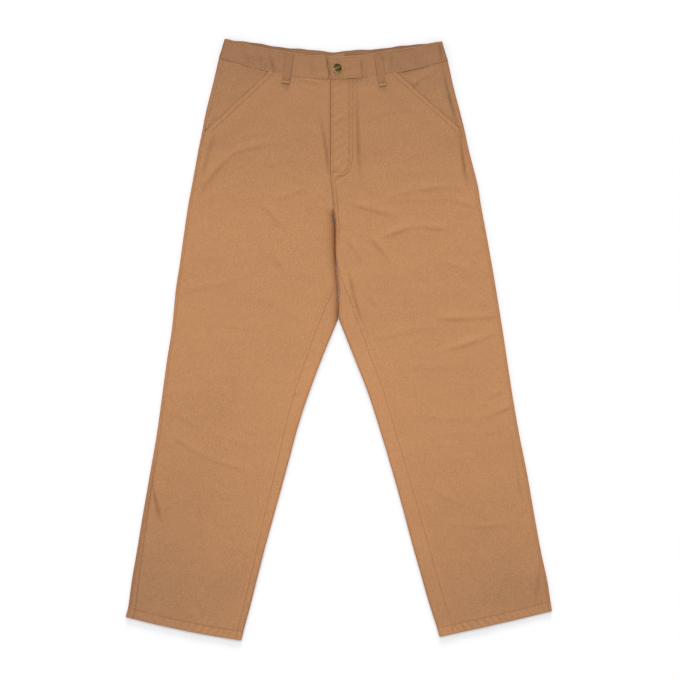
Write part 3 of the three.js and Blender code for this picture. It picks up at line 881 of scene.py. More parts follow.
# Distances of a panel's columns from its borders.
EDGE_STEPS = (0, 0.12, 0.3, 0.55, 0.9, 1.4)
INSEAM_STEPS = EDGE_STEPS + (2, 2.6, 3.6, 5, 6, 6.6, 7.2, 8.4, 10, 10.7, 11.2, 11.8, 12.4, 13, 13.5, 14, 15,
                             17, 20)
FLY_STEPS = INSEAM_STEPS + (22, 24, 26, 28, 30, 31.5, 32.4, 33, 33.6, 34.2, 34.8, 36, 37.5, 38.7, 39.3, 39.9,
                            40.5, 41.2, 42.5, 44.5)
POCKET_STEPS = EDGE_STEPS + (2, 2.6, 3.6, 5, 6.6, 7.6, 8.2, 8.6, 9.1, 9.7, 10.2, 10.8, 12, 14.5)


def wear_and_painted_relief(raised: Array) -> Array:
    """Share of its tone that the cloth has: paler where it stands up, from wear and painted light, and darker
    where it lies deep, from painted shade.
    """
    return 1 + 0.085 * np.clip(raised, -0.5, 1.0)


def shaded(shade: Array) -> Array:
    """Share of its tone that the cloth keeps in painted shade, such as a crease's, where its colour deepens
    as well.
    """
    return 1 - np.where(shade > 0, 0.6, 1.0) * shade


def deepened(shade: Array) -> Array:
    """Share of the deeper colour in painted shade, such as a crease's."""
    return np.clip(1.4 * shade, 0, 1)


def hem_shade(way: Array, from_hem: Array) -> Array:
    """Painted shade of a hem: dark in its row of stitching, painted paler below it, with small leaning
    puckers painted in light and shade.
    """
    turns = 2 * np.pi * (way + 0.4 * from_hem) / 12.5 + 1.7 * np.sin(way / 23)
    lean = 0.08 * np.sin(turns) * (0.6 + 0.4 * np.sin(way / 41))
    return 0.27 * bell(from_hem - HEM_ROW, 1.2) + fading(from_hem, HEM_ROW - 1, HEM_ROW) * (lean - 0.03)


def hem_relief(way: Array, from_hem: Array) -> tuple[Array, Array]:
    """Share of the hem's turned band at each point, and its ropy puckers."""
    band = fading(from_hem, HEM_DEPTH - 0.3, HEM_DEPTH + 0.6)
    return band, HEM_ROPING.at(way, from_hem - HEM_ROW / 2) * fading(from_hem, 20, 26)


def hem_rim(from_hem: Array) -> Array:
    """Share of the deeper colour of painted shade on the very edge of a hem."""
    return 0.2 * fading(from_hem, 0.5, 2.2)


def fold_shade(leg: Leg, rows: Array, across: Array) -> Array:
    """Painted shade in the fold between the legs, which the leg that lies lower runs down into.

    Args:
        leg: The leg.
        rows: Row number of each section.
        across: Distance outwards from the top of the inner edge.

    Returns:
        Share of the tone that the shade takes.
    """
    reach, depth = (1.6, 0.32) if leg.over_fly else (5.4 - 1.2 * smoothstep(rows, 6, 8.5), 0.78)
    darkness = np.exp(-np.maximum(across + TURN, 0) / reach) * smoothstep(across, -9, -4)
    return depth * FOLD_DARK.at(rows) * darkness


def fly_paths() -> list[Array]:
    """The fly's two rows of stitches, which run down and curve in to its foot."""
    edge, top = LEFT_STATIONS[0][2], LEFT_STATIONS[0][3]
    angle = np.linspace(0, math.pi / 2, 9)
    paths = []
    for inwards, (curve_width, curve_height, foot) in zip(FLY_ROWS, FLY_CURVES):
        start_x, start_y = edge + inwards - curve_width, foot + curve_height
        curve_x, curve_y = start_x + curve_width * np.cos(angle), start_y - curve_height * np.sin(angle)
        curve = np.stack([curve_x, curve_y], axis=1)
        paths.append(np.concatenate([[[edge + inwards, top + 4]], curve, [[edge + 2, foot]]]))
    return paths


def distance_to(path: Array, points: Array) -> Array:
    """Distance of points, in plan, from a path of straight stretches."""
    return np.minimum.reduce([away_from(start, end, points) for start, end in zip(path[:-1], path[1:])])


@dataclass
class FrontPanel:
    """Front of one leg, cut away at the pocket and stitched down on the felled inseam."""

    leg: Leg
    relief: Relief
    cut: Sections = field(init=False)
    start: Array = field(init=False)
    end: Array = field(init=False)

    def __post_init__(self) -> None:
        """Works out the sections and the two borders."""
        self.cut = self.leg.sections(self.leg.panel_rows(FLY_FOOT if self.leg.over_fly else None))
        self.start = self.cut.inner_border()[0]
        self.end = self.leg.pocket_way(self.cut) - SEAM_GAP

    @property
    def name(self) -> str:
        """Name of the CAD node that the panel stands for."""
        return f"front_panel_{self.leg.suffix}"

    def lift(self, points: Array, inwards: Array) -> Array:
        """Height that the panel gains over the pocket's facing and over the other front.

        Args:
            points: Points of the panel.
            inwards: Distance of each from the inner border.

        Returns:
            The height at each point.
        """
        flat_over = POCKET_UNDERLAP + OVERLAP_MARGIN
        over = fading(self.leg.pocket_distance(points), flat_over, flat_over + OVERLAP_FADE)
        pocket = over * fading(self.cut.rows, POCKET_END_ROW, POCKET_END_ROW + 1)
        if not self.leg.over_fly:
            return OVERLAP_LIFT * pocket
        flat_over = FLY_UNDERLAP + OVERLAP_MARGIN
        fly = fading(inwards, flat_over, flat_over + OVERLAP_FADE)
        fly = fly * fading(self.cut.rows, FLY_END_ROW, FLY_END_ROW + 1)
        return OVERLAP_LIFT * np.maximum(pocket, fly)

    def surface(self, way: Array) -> Array:
        """Middle of the cloth, with its overlaps and its creases."""
        return self.surface_and_shade(way)[0]

    def surface_and_shade(self, way: Array) -> tuple[Array, Array]:
        """Middle of the cloth, and its painted shade in its creases, its folds and its rows of stitches.

        Args:
            way: Way outwards of each column, at each section.

        Returns:
            Points, and the share of the tone that the shade takes at each.
        """
        points = self.cut.front(way)
        inwards, outwards = way - self.start, self.end - way
        lift = self.lift(points, inwards)
        folded, dark = self.relief.fields(points)
        fade = smoothstep(way, -2, 12) * smoothstep(outwards, -2, 12) * (1 - 0.45 * lift / OVERLAP_LIFT)
        points[..., 2] += lift + folded * fade
        fade = smoothstep(way, -2, 3) * smoothstep(outwards, -3, 2)
        # Painted shade of the creases and of the fold between the legs.
        shade = dark * fade + fold_shade(self.leg, self.cut.rows, way)
        # Painted shade on the right front beside the left front's edge at the fly.
        if not self.leg.over_fly:
            shade = shade + 0.22 * fading(self.cut.rows, *BESIDE_FLY_END) * bell(inwards, 2.0)
        return points, shade + self.seam_shade(inwards, outwards)

    def seam_shade(self, inwards: Array, outwards: Array) -> Array:
        """Painted shade along the seams, with painted light beside some of them, and how much paler the lower
        legs' inner edges are.

        Args:
            inwards: Distance from the inner border.
            outwards: Distance from the outer border.

        Returns:
            Share of the tone that the shade takes, under 0 where it is paler.
        """
        rows, pocket, over_fly = self.cut.rows, self.pocket_share(), self.leg.over_fly
        lengths = self.leg.length_at(rows)
        at_hem = smoothstep(rows, self.leg.last_row - 0.9, self.leg.last_row - 0.7)
        # Darker where the hem's row crosses the seams.
        hem_corner_dark = 0.14 * at_hem * bell(lengths - lengths[-1:] + HEM_ROW, 3.0)
        hem_corner_dark = hem_corner_dark * (bell(inwards, 4.0) + bell(outwards, 3.0))
        # Painted shade along the side seam, more of it low on the right leg.
        side = 0.03 if over_fly else 0.06 + 0.14 * smoothstep(rows, *DARK_SIDE_START)
        inseam = lines_at(inwards, (FLY_BORDER if over_fly else INSEAM_BORDER, *INSEAM_LINES))
        shade = self.band_share() * inseam + pocket * lines_at(outwards, POCKET_LINES) + hem_corner_dark
        shade = shade + side * bell(outwards, 1.9) * (1 - pocket)
        shade = shade - 0.03 * smoothstep(rows, *PALE_INNER_START) * fading(inwards, 0, 18)
        # On the left front: painted shade and light along the fly's edge, and painted light just under the
        # waistband, where the band's shadow falls.
        if over_fly:
            shade = shade + fading(rows, *FLY_SHADE_END) * lines_at(inwards, FLY_LINES)
            shade = shade - 0.06 * fading(lengths - lengths[:1], 1, 6) * fading(inwards, 55, 75)
        return shade

    def pocket_share(self) -> Array:
        """1 at the sections that the pocket's slant crosses, and 0 below them."""
        return fading(self.cut.rows, POCKET_END_ROW - 0.15, POCKET_END_ROW + 0.05)

    def band_share(self) -> Array:
        """How far the felled inseam shows at each section, from 0 to 1."""
        return self.cut.closed * smoothstep(self.cut.inseam, 0, 8)

    def raised(self, way: Array, along: Array) -> Array:
        """Relief of the seams on the outside of the cloth.

        Args:
            way: Way outwards of each column, at each section.
            along: Length down the leg of each section.

        Returns:
            Height of the relief at each point.
        """
        inwards, outwards = way - self.start, self.end - way
        from_top, from_hem = along - along[0], along[-1] - along
        band, pocket = self.band_share(), self.pocket_share()
        total = 0.6 * SEAM_RAISE * band * fading(inwards, INSEAM_BAND - 0.8, INSEAM_BAND + 1.2)
        total = total + band * (INSEAM_PUCKERS.at(along, inwards - 6.5) - 0.4 * groove(inwards, INSEAM_ROWS))
        slant = 0.5 * fading(outwards, POCKET_BAND - 0.8, POCKET_BAND + 1.2) - groove(outwards, POCKET_ROWS)
        total = total + pocket * (slant + POCKET_PUCKERS.at(along, outwards - 5))
        total = total + 0.5 * fading(from_top, 0, 7) + WAIST_PUCKERS.at(way, from_top + 2)
        if self.leg.over_fly:
            swell = 0.35 + lines_at(self.cut.inner_y, FLY_SWELLS)
            cockle = swell * FLY_COCKLE.at(along, inwards - 12) + FLY_PUCKERS.at(along, inwards - 37)
            total = total + fading(self.cut.rows, *FLY_RELIEF_END) * cockle
            total = total - RISE_STITCHED.at(self.cut.rows) * groove(inwards, RISE_ROWS)
        hem, roping = hem_relief(way, from_hem)
        total = total + (1 - pocket) * SIDE_PUCKERS.at(along, outwards)
        total = total + hem * SEAM_RAISE * (1 - 0.6 * band) + roping - groove(from_hem, (HEM_ROW,))
        side_round = rounded(outwards, EDGE_ROUND) * (0.3 + 0.7 * pocket)
        return total - rounded(inwards, EDGE_ROUND) - side_round - rounded(from_hem, HEM_ROUND)

    def shell(self) -> Shell:
        """The panel's shell of cloth."""
        near_start = FLY_STEPS if self.leg.over_fly else INSEAM_STEPS
        hidden = 0.0
        if not self.leg.over_fly:
            hidden = FLY_UNDERLAP * fading(self.cut.rows, POCKET_END_ROW, FLY_END_ROW)
        way = spread(self.start - hidden, self.end, near_start, POCKET_STEPS, PANEL_COLUMNS)
        points, shade = self.surface_and_shade(way)
        along = self.leg.length_at(self.cut.rows)
        raised = self.raised(way, along)
        if self.leg.over_fly:
            from_rows = np.minimum(*(distance_to(path, points) for path in fly_paths()))
            raised = raised - GROOVE_DEPTH * bell(from_rows, GROOVE_WIDTH)
            # Painted shade along the fly's rows of stitches and the rise's rows.
            shade = shade + 0.19 * bell(from_rows, 0.9)
            shade = shade + RISE_STITCHED.at(self.cut.rows) * lines_at(way - self.start, RISE_LINES)
        from_hem = along[-1] - along
        shade = shade + hem_shade(way, from_hem)
        # The painted shade darkens the tone and deepens the colour; the relief's high parts are paler and its
        # hollows darker.
        tone = tone_at(points) * shaded(shade) * wear_and_painted_relief(raised)
        rim = np.maximum(deepened(shade), hem_rim(from_hem))
        return Shell(self.name, points, self.leg.side, CLOTH, raised, along, way, tone, rim)

    def seam_line(self, inwards: float | None = None, outwards: float | None = None,
                  rows: Place = (0, 99)) -> Array:
        """Line at a distance from the inner or the outer border.

        Args:
            inwards: Distance from the inner border.
            outwards: Distance from the outer border, where inwards isn't given.
            rows: First and last row number of the line.

        Returns:
            Points in plan, from the waist down.
        """
        way = self.start + inwards if inwards is not None else self.end - outwards
        line = self.surface(way)[:, 0, :2]
        chosen = (self.cut.rows[:, 0] >= rows[0]) & (self.cut.rows[:, 0] <= rows[1])
        return line[chosen]

    def hem_line(self, from_hem: float) -> Array:
        """Line across the panel at a distance above the hem's edge, in plan."""
        whole = float(self.leg.length_at(np.array([self.leg.last_row]))[0])
        cut = self.leg.sections(self.leg.rows_for(np.array([whole - from_hem])))
        start, end = cut.inner_border()[0] - cut.inseam + 3, cut.side_seam_way() + cut.side_seam - 4
        return cut.front(np.linspace(start[0, 0], end[0, 0], 60)[None, :])[0, :, :2]


@dataclass
class BackPanel:
    """Back of one leg, which turns up round both edges onto the front."""

    leg: Leg
    relief: Relief

    @property
    def name(self) -> str:
        """Name of the CAD node that the panel stands for."""
        return f"back_panel_{self.leg.suffix}"

    def ways(self, cut: Sections) -> Array:
        """Ways of the columns, from the inseam under the leg to the side seam."""
        start = cut.inner_border()[1]
        half = cut.half_turn
        strip = np.maximum(-start - half, -0.3 * start)
        strip_steps = np.array([0, 0.012, 0.03, 0.055, 0.09, 0.14, 0.22, 0.31, 0.4, 0.5, 0.6, 0.7, 0.8, 0.9])
        edge = start + strip
        end = cut.flat + half + (cut.flat - cut.side_seam_way()) - SEAM_GAP
        return np.concatenate([
            start + strip * strip_steps,
            edge * (1 - np.linspace(0, 1, 9)[:-1]),
            cut.flat * np.linspace(0, 1, 43)[:-1],
            cut.flat + half * np.linspace(0, 1, 10)[:-1],
            end - (end - cut.flat - half) * (1 - np.linspace(0, 1, 8)[:-1]),
            end - np.array([0.9, 0.55, 0.3, 0.12, 0])[None, :],
        ], axis=1)

    def shell(self) -> Shell:
        """The panel's shell of cloth."""
        cut = self.leg.sections(self.leg.panel_rows())
        way = self.ways(cut)
        points = cut.back(way)
        half = cut.half_turn
        on_inner_strip = -way - half
        on_outer_strip = way - cut.flat - half
        turned = smoothstep(points[..., 2] - cut.level, cut.turn, 2 * cut.turn)
        relief, dark = self.relief.fields(points)
        fade = smoothstep(on_inner_strip, -2, 12) + 0.5 * smoothstep(on_outer_strip, 0, 10)
        points[..., 2] += turned * relief * fade
        along = self.leg.length_at(cut.rows)
        from_hem = along[-1] - along
        hem, roping = hem_relief(way, from_hem)
        hidden, hidden_dark = self.relief.fields(points + HIDDEN_SHIFT)
        underneath = 0.35 * np.abs(hidden) * (1 - turned)
        below = points[..., 2] < cut.level + cut.turn
        seam = np.minimum(way - way[:, :1], way[:, -1:] - way)
        raised = turned * (hem * SEAM_RAISE + roping - groove(from_hem, (HEM_ROW,)))
        raised = raised - np.where(below, underneath, 0) - 0.4 * rounded(seam, EDGE_ROUND)
        raised = raised - rounded(from_hem, HEM_ROUND) + turned * BACK_SEAM_PUCKERS.at(along, seam)
        edge_in = np.where(way < 0, tent(-way - half / 2, TURN_REACH), 0) * cut.closed
        edge_out = tent(way - cut.flat - half / 2, TURN_REACH)
        # The turned edges take the deeper colour of painted shade.
        rim = np.maximum(edge_in, edge_out) ** 1.5
        fold = fold_shade(self.leg, cut.rows, on_inner_strip) * (on_inner_strip > -half - 4)
        shade = dark * fade + fold + turned * hem_shade(way, from_hem)
        # Painted light on the turned edges, on the inner one only below the fold.
        shade = shade - 0.16 * edge_out - 0.22 * edge_in * smoothstep(cut.rows, *LIT_TURN_START)
        shade = shade - 0.03 * smoothstep(cut.rows, *PALE_INNER_START) * smoothstep(on_inner_strip, 0, 3)
        # Painted shade along the right leg's outer edge and the strip beside it, low on the leg.
        if not self.leg.over_fly:
            beside = edge_out + bell(on_outer_strip, 4.5) * (on_outer_strip > 0)
            shade = shade + 0.16 * np.minimum(beside, 1) * smoothstep(cut.rows, *DARK_SIDE_START)
        # On the hidden underside, the painted shade of its own creases.
        shade = np.where(below, 0.8 * hidden_dark, shade)
        tone = tone_at(points) * shaded(shade)
        tone = tone * np.where(below, wear_and_painted_relief(0.5 * hidden), wear_and_painted_relief(raised))
        rim = np.maximum.reduce([rim, deepened(shade), np.broadcast_to(hem_rim(from_hem), rim.shape)])
        return Shell(self.name, points, -self.leg.side, CLOTH, raised, along, way, tone, rim)


@dataclass
class PocketFacing:
    """Facing that shows in a slanted pocket and runs on under the front."""

    leg: Leg
    relief: Relief = Relief(FACING_CREASES, ((60, 0.3), (28, 0.15)), 1.8)

    @property
    def name(self) -> str:
        """Name of the CAD node that the facing stands for."""
        return f"pocket_facing_{self.leg.suffix}"

    def shell(self) -> Shell:
        """The facing's shell of cloth."""
        lengths = self.leg.length_at(np.array([0, POCKET_END_ROW - 0.1]))
        rows = self.leg.rows_for(np.linspace(*lengths, FACING_ROWS))
        cut = self.leg.sections(rows)
        start = self.leg.pocket_way(cut) - POCKET_UNDERLAP
        end = cut.side_seam_way() - SEAM_GAP
        beside_slant = [POCKET_UNDERLAP + step for step in (-0.8, 0, 0.5, 1, 1.6, 2.4, 3.6)]
        way = spread(start, end, [0, 5, 10, 13, *beside_slant], EDGE_STEPS + (2, 3, 4.5), FACING_COLUMNS)
        points = cut.front(way)
        outwards = way - start - POCKET_UNDERLAP
        relief, dark = self.relief.fields(points)
        points[..., 2] += relief * smoothstep(outwards, 1, 8) * smoothstep(end - way, -1, 5)
        along = self.leg.length_at(cut.rows)
        dark = dark * smoothstep(end - way, -3, 1)
        raised = FACING_SIDE_PUCKERS.at(along, end - way) - 0.3 * rounded(end - way, EDGE_ROUND)
        from_top = along - along[0]
        raised = raised + 0.35 * fading(from_top, 0, 7) + FACING_WAIST_PUCKERS.at(way, from_top + 2)
        # Painted shade of the creases, and a painted shadow along the front's edge at the pocket's slant.
        tone = tone_at(points) * (1 - dark) * wear_and_painted_relief(raised) - 0.24 * bell(outwards, 1.3)
        return Shell(self.name, points, self.leg.side, CLOTH, raised, along, way, tone, np.zeros_like(way))


@dataclass
class Waistband:
    """One strip, folded double, from the fly's right end round the back to its left end.

    Attributes:
        right: The leg at whose fly the strip begins.
        left: The leg at whose fly it ends.
        side_height: Height of the strip at the sides.
        centre_height: Height at the centre of the back and of the right front.
        left_height: Height at the centre of the left front.
        left_swell: How much higher the left front is halfway to the side.
        lean: How far the strip leans inwards at the sides, in degrees.
        end_slant: How far the left end's top lies past its foot.
        right_end_cover: How far to the right of the centre the left end reaches over the right one.
    """

    right: Leg
    left: Leg
    side_height: float = 36.2
    centre_height: float = 43.3
    left_height: float = 41.0
    left_swell: float = 3.6
    lean: float = 17.0
    end_slant: float = 5.5
    right_end_cover: float = 19.5

    name: str = "waistband"

    def station(self, leg: Leg) -> Sections:
        """The leg's first section, with the heights of the waistband."""
        cut = leg.sections(np.array([0.0]))
        cut.turn, cut.wall, cut.level = BAND_SPREAD / 2, BAND_WALL, BAND_LEVEL
        return cut

    def heights(self, leg: Leg, share: Array, front: Array) -> Array:
        """Height of the strip at each share of the way out to the side."""
        lowered = front & leg.over_fly
        centre = np.where(lowered, self.left_height, self.centre_height)
        swell = np.where(lowered, self.left_swell * bell(share - 0.5, 0.25), 0)
        return centre + (self.side_height - centre) * share**4 + swell

    def at_height(self, leg: Leg, lower: Array, share: Array, up: Array | float) -> Array:
        """Places in plan on the strip, which leans inwards at the sides.

        Args:
            leg: The leg of this half.
            lower: Points of the half's lower edge.
            share: Share of the way out to the side of each.
            up: Distance up the strip.

        Returns:
            Places, with x and y in the last axis.
        """
        lean = np.radians(self.lean) * share**2 * -leg.side
        return np.stack([lower[..., 0] + np.sin(lean) * up, lower[..., 1] + np.cos(lean) * up], axis=-1)

    def lower_edge(self, leg: Leg) -> tuple[Array, Array, Array]:
        """Lower edge of one half, from the centre of the front round the side to the centre of the back.

        Returns:
            Points, the share of the way out to the side, and how far each lies on the turned side edge.
        """
        cut = self.station(leg)
        flat, half = float(cut.flat[0, 0]), cut.half_turn
        extra = BAND_OVERLAP if leg.over_fly else BAND_UNDERLAP
        near_end = np.array([0, 0.2, 0.5, 1.0, 1.8])
        front_way = np.concatenate([near_end - extra, np.arange(3 - extra, flat, BAND_PITCH)])
        front = cut.front(front_way[None, :])[0]
        flat_over = BAND_UNDERLAP + OVERLAP_MARGIN
        lift = BAND_LIFT if leg.over_fly else 0.0
        front[:, 2] += lift * fading(front_way, flat_over, flat_over + OVERLAP_FADE)
        past = (front[:, 0] - cut.inner_x[0, 0]) * leg.side < 0
        front[past, 1] = 2 * cut.inner_y[0, 0] - front[past, 1]
        on_turn = flat + half * np.linspace(1, 0, 9)
        back_way = np.concatenate([on_turn, np.arange(flat - BAND_PITCH, 0, -BAND_PITCH), [0]])
        back = cut.back(back_way[None, :])[0]
        points = np.concatenate([front, back])
        whole = abs(cut.outer_x - cut.inner_x)[0, 0]
        share = np.clip((points[:, 0] - cut.inner_x[0, 0]) * leg.side / whole, 0, 1)
        on_side = tent(back_way - flat - half / 2, BAND_TURN_REACH) ** 1.5
        return points, share, np.concatenate([np.zeros(len(front)), on_side])

    def shell(self) -> Shell:
        """The strip's shell of cloth."""
        steps = np.array([0, 0.1, 0.25, 0.5, 0.8, 1.1, 1.6, 2.1, 2.6, 3.4, 5, 8, 11.5, 15])
        halves = []
        for leg, reverse in ((self.right, False), (self.left, True)):
            lower, share, rim = self.lower_edge(leg)
            front = lower[:, 2] > BAND_LEVEL + BAND_SPREAD / 2
            height = self.heights(leg, share, front)[:, None]
            up = np.concatenate([np.tile(steps, (len(lower), 1)), height / 2, height - steps[::-1]], axis=1)
            plan = self.at_height(leg, lower[:, None], share[:, None], up + SEAM_GAP)
            z = np.broadcast_to(lower[:, None, 2:], (*up.shape, 1))
            half = [np.concatenate([plan, z], axis=-1), up, height - up,
                    np.broadcast_to(rim[:, None], up.shape)]
            halves.append([part[::-1] for part in half] if reverse else half)
        points, up, down, rim = (np.concatenate(parts) for parts in zip(*halves))
        steps_along = np.linalg.norm(np.diff(points[:, 0], axis=0), axis=1)
        along = np.concatenate([[0], np.cumsum(steps_along)])[:, None]
        relief = Relief(BAND_CREASES, ((70, 0.35), (26, 0.2), (12, 0.08)), 1.4)
        wave, dark = relief.fields(points)
        on_front = smoothstep(points[..., 2], BAND_LEVEL + 1.5, BAND_LEVEL + BAND_SPREAD)
        from_end = along[-1] - along
        points = points.copy()
        points[..., 0] -= self.end_slant * (up / self.left_height - 0.5) * bell(from_end, 22)
        points[..., 2] += 0.9 * wave * on_front * smoothstep(up, 0, 8)
        points[..., 1] += (0.6 * np.sin(along / 15.0) + 0.35 * np.sin(along / 6.1)) * smoothstep(up, 10, 40)
        points[..., 1] -= 2.2 * (1 - on_front) * bell(points[..., 0] + 6, 16) * smoothstep(up, 10, 40)
        ends = rounded(np.minimum(along, from_end), 0.9)
        raised = BAND_FOOT_PUCKERS.at(along, up - 3) + BAND_TOP_PUCKERS.at(along, down - 2)
        raised = raised - 0.5 * groove(up, (BAND_ROW,)) - rounded(up, 0.2) - rounded(down, 1.0) - ends
        tone = tone_at(points) * (0.95 - 0.12 * (1 - on_front))
        # Painted shade of the front's creases, and a painted shadow on the right end along the left end's
        # edge.
        under_end = points[..., 0] + self.right_end_cover + self.end_slant * (up / self.left_height - 0.5)
        covered = (along < RIGHT_END_REACH) * on_front
        tone = tone * shaded(dark * on_front) * wear_and_painted_relief(raised) - covered * 0.42 * bell(under_end + 0.8, 1.4)
        # Painted shade along the front's rows of stitches at its foot and top, and painted light on its very
        # foot.
        tone = tone - on_front * (lines_at(up, BAND_FOOT_LINES) + lines_at(down, BAND_TOP_LINES))
        # The back half's top edge and the front's creases take the deeper colour of painted shade.
        rim = np.maximum(rim, 0.8 * fading(down, 0.2, 2.2) * (1 - on_front))
        rim = np.maximum(rim, deepened(dark * on_front))
        return Shell(self.name, points, -1, BAND_WALL, raised, up, along, tone, rim,
                     inner_raised=-rounded(down, 1.0) - ends)


@dataclass(frozen=True)
class LoopPlace:
    """Where a belt loop lies: the middle of its top and of its lower end, and the heights of its middle."""

    name: str
    top: Place
    end: Place
    on_front: bool


LOOP_SEAT = LOOP_GAP + LOOP_WALL / 2
LOOP_PLACES = (
    LoopPlace("belt_loop_front_r", (-92, 533), (-100, 478), True),
    LoopPlace("belt_loop_front_l", (73, 532), (82, 473), True),
    LoopPlace("belt_loop_back_r", (-140, 545), (-146, 492), False),
    LoopPlace("belt_loop_back_c", (-9, 536), (-9, 483), False),
    LoopPlace("belt_loop_back_l", (122, 542), (128, 490), False),
)


@dataclass
class BeltLoop:
    """Narrow strip over the waistband, with its lower end folded under and tacked.

    Attributes:
        place: Where it lies.
        width: Width of the strip.
        fold: Length that is folded under at the lower end.
        stitch_row: Distance of its two rows of stitches from its middle.
    """

    place: LoopPlace
    width: float = 14.0
    fold: float = 5.5
    stitch_row: float = 2.4

    def axes(self) -> tuple[Array, Array, float]:
        """Directions down and across the loop, and its length."""
        down = np.array(self.place.end, float) - np.array(self.place.top, float)
        length = float(np.linalg.norm(down))
        down = down / length
        return down, np.array([-down[1], down[0]]), length

    def shell(self) -> Shell:
        """The loop's shell of cloth."""
        down, side, length = self.axes()
        on_fold = np.array([-0.6, -0.2, 0.2, 0.6, 1.4, 2.4, 3.4, 4.4, 5, 5.3, 5.5])
        rows = np.concatenate([[0, 0.2, 0.5, 1.0], np.arange(2, length - self.fold - 1, 1.6),
                               length - self.fold + on_fold])
        half = np.array([0.2, 0.4, 0.5, 0.55, 0.6, 0.68, 0.8, 0.9, 0.95, 0.985, 1])
        across = self.width / 2 * np.concatenate([-half[::-1], [0], half])[None, :]
        rows = rows[:, None]
        taper = 1 + 0.03 * np.sin(rows / 9)
        x = self.place.top[0] + down[0] * rows + side[0] * across * taper
        y = self.place.top[1] + down[1] * rows + side[1] * across * taper
        if self.place.on_front:
            low, high = BAND_TOP + LOOP_SEAT, PANEL_TOP + OVERLAP_LIFT + LOOP_SEAT
            share = rows / length
            height = low + (high - low) * smoothstep(share, 0.3, 0.6) + 0.5 * bell(share - 0.35, 0.25)
            height = height - 0.9 * smoothstep(share, 0.72, 0.95)
            folded = 0.7 * smoothstep(rows, length - self.fold - 0.3, length - self.fold + 0.3)
        else:
            height, folded = np.full_like(rows, LOOP_WALL / 2), 0.0
        z = height + 0 * across
        from_side = self.width / 2 - np.abs(across)
        edge = rounded(from_side, 0.5) + rounded(np.minimum(rows, length - rows), 0.5)
        crown = 0.35 * bell(across, 3.2) * self.place.on_front
        ribs = 0.5 * bell(np.abs(across) - self.stitch_row, 0.9) * (1 - folded)
        ends = length - self.fold
        raised = folded + crown - edge - ribs - 0.35 * bell(rows - ends + 0.5, 0.7) * self.place.on_front
        raised = raised + LOOP_PUCKERS.at(rows, from_side - 2)
        points = np.stack(np.broadcast_arrays(x, y, z), axis=-1)
        # The loop is darker than the band; painted shade lies in its rows of stitches, along its edges, at
        # its tack and at its lower end.
        tone = 0.88 * tone_at(points) - 0.1 * bell(np.abs(across) - self.stitch_row, 0.8)
        tone = tone - 0.1 * bell(from_side, 0.7) - 0.16 * bell(rows - ends + 0.3, 0.8)
        tone = tone - 0.08 * bell(length - rows, 0.9)
        outward = 1 if self.place.on_front else -1
        if not self.place.on_front:
            raised = np.minimum(raised, 0)
        return Shell(self.place.name, points, outward, LOOP_WALL, raised, rows, across, tone,
                     np.zeros_like(z))

    def stitch_lines(self) -> list[Array]:
        """The two rows of stitches along the loop, in plan."""
        down, side, length = self.axes()
        rows = np.linspace(2, length - self.fold - 1, 40)[:, None]
        top = np.array(self.place.top, float)
        return [top + down * rows + side * self.stitch_row * sign for sign in (-1, 1)]

    def tack_lines(self) -> list[Array]:
        """The short lines of the tack across the folded end, in plan."""
        down, side, length = self.axes()
        top = np.array(self.place.top, float)
        lines = []
        for across in np.linspace(-self.width / 2 + 1.2, self.width / 2 - 1.2, 15):
            middle = top + down * (length - 2.4) + side * across
            lines.append(np.array([middle - down * 1.2, middle + down * 1.2]))
        return lines


def linear_colour(code: str) -> tuple[float, float, float, float]:
    """Linear colour, with full alpha, of an sRGB hex value."""
    parts = [int(code[start:start + 2], 16) / 255 for start in (1, 3, 5)]
    linear = [part / 12.92 if part <= 0.04045 else ((part + 0.055) / 1.055) ** 2.4 for part in parts]
    return (*linear, 1.0)


def add_node(tree: Tree, kind: str, settings: dict | None = None,
             inputs: dict | None = None) -> bpy.types.Node:
    """Adds a shader node with its settings and links.

    Args:
        tree: Node tree of the material.
        kind: Node type.
        settings: Values of the node's own properties.
        inputs: Values or linked outputs for its sockets, by name or number.

    Returns:
        The new node.
    """
    node = tree.nodes.new(kind)
    for key, value in (settings or {}).items():
        setattr(node, key, value)
    fill_inputs(tree, node, inputs or {})
    return node


def fill_inputs(tree: Tree, node: bpy.types.Node, inputs: dict) -> None:
    """Sets or links a node's sockets, by name or number."""
    for key, value in inputs.items():
        if isinstance(value, Socket):
            tree.links.new(value, node.inputs[key])
        else:
            node.inputs[key].default_value = value


def computed(tree: Tree, operation: str,
             *values: float | Socket) -> Socket:
    """Result of a math node on values or linked outputs."""
    return add_node(tree, "ShaderNodeMath", {"operation": operation}, dict(enumerate(values))).outputs[0]


def attribute(tree: Tree, name: str) -> Socket:
    """Value of one of the mesh's own attributes."""
    return add_node(tree, "ShaderNodeAttribute", {"attribute_name": name}).outputs["Fac"]


def noise(tree: Tree, inputs: dict, dimensions: str = "3D") -> Socket:
    """Value of a noise texture, on the object's own coordinates where inputs names no others."""
    if "Vector" not in inputs:
        inputs = {"Vector": add_node(tree, "ShaderNodeTexCoord").outputs["Object"], **inputs}
    return add_node(tree, "ShaderNodeTexNoise", {"noise_dimensions": dimensions}, inputs).outputs["Fac"]


def ranged(tree: Tree, value: Socket, **limits: float) -> Socket:
    """Value mapped from one range to another, by the limits that aren't 0 or 1."""
    named = {key.replace("_", " ").title(): limit for key, limit in limits.items()}
    return add_node(tree, "ShaderNodeMapRange", inputs={"Value": value, **named}).outputs[0]


def mixed(tree: Tree, share: Socket, first: Socket | str,
          second: str) -> Socket:
    """Colour between two, each given as a linked colour or as an sRGB hex value."""
    first = linear_colour(first) if isinstance(first, str) else first
    return add_node(tree, "ShaderNodeMix", {"data_type": "RGBA"},
                    {0: share, 6: first, 7: linear_colour(second)}).outputs[2]


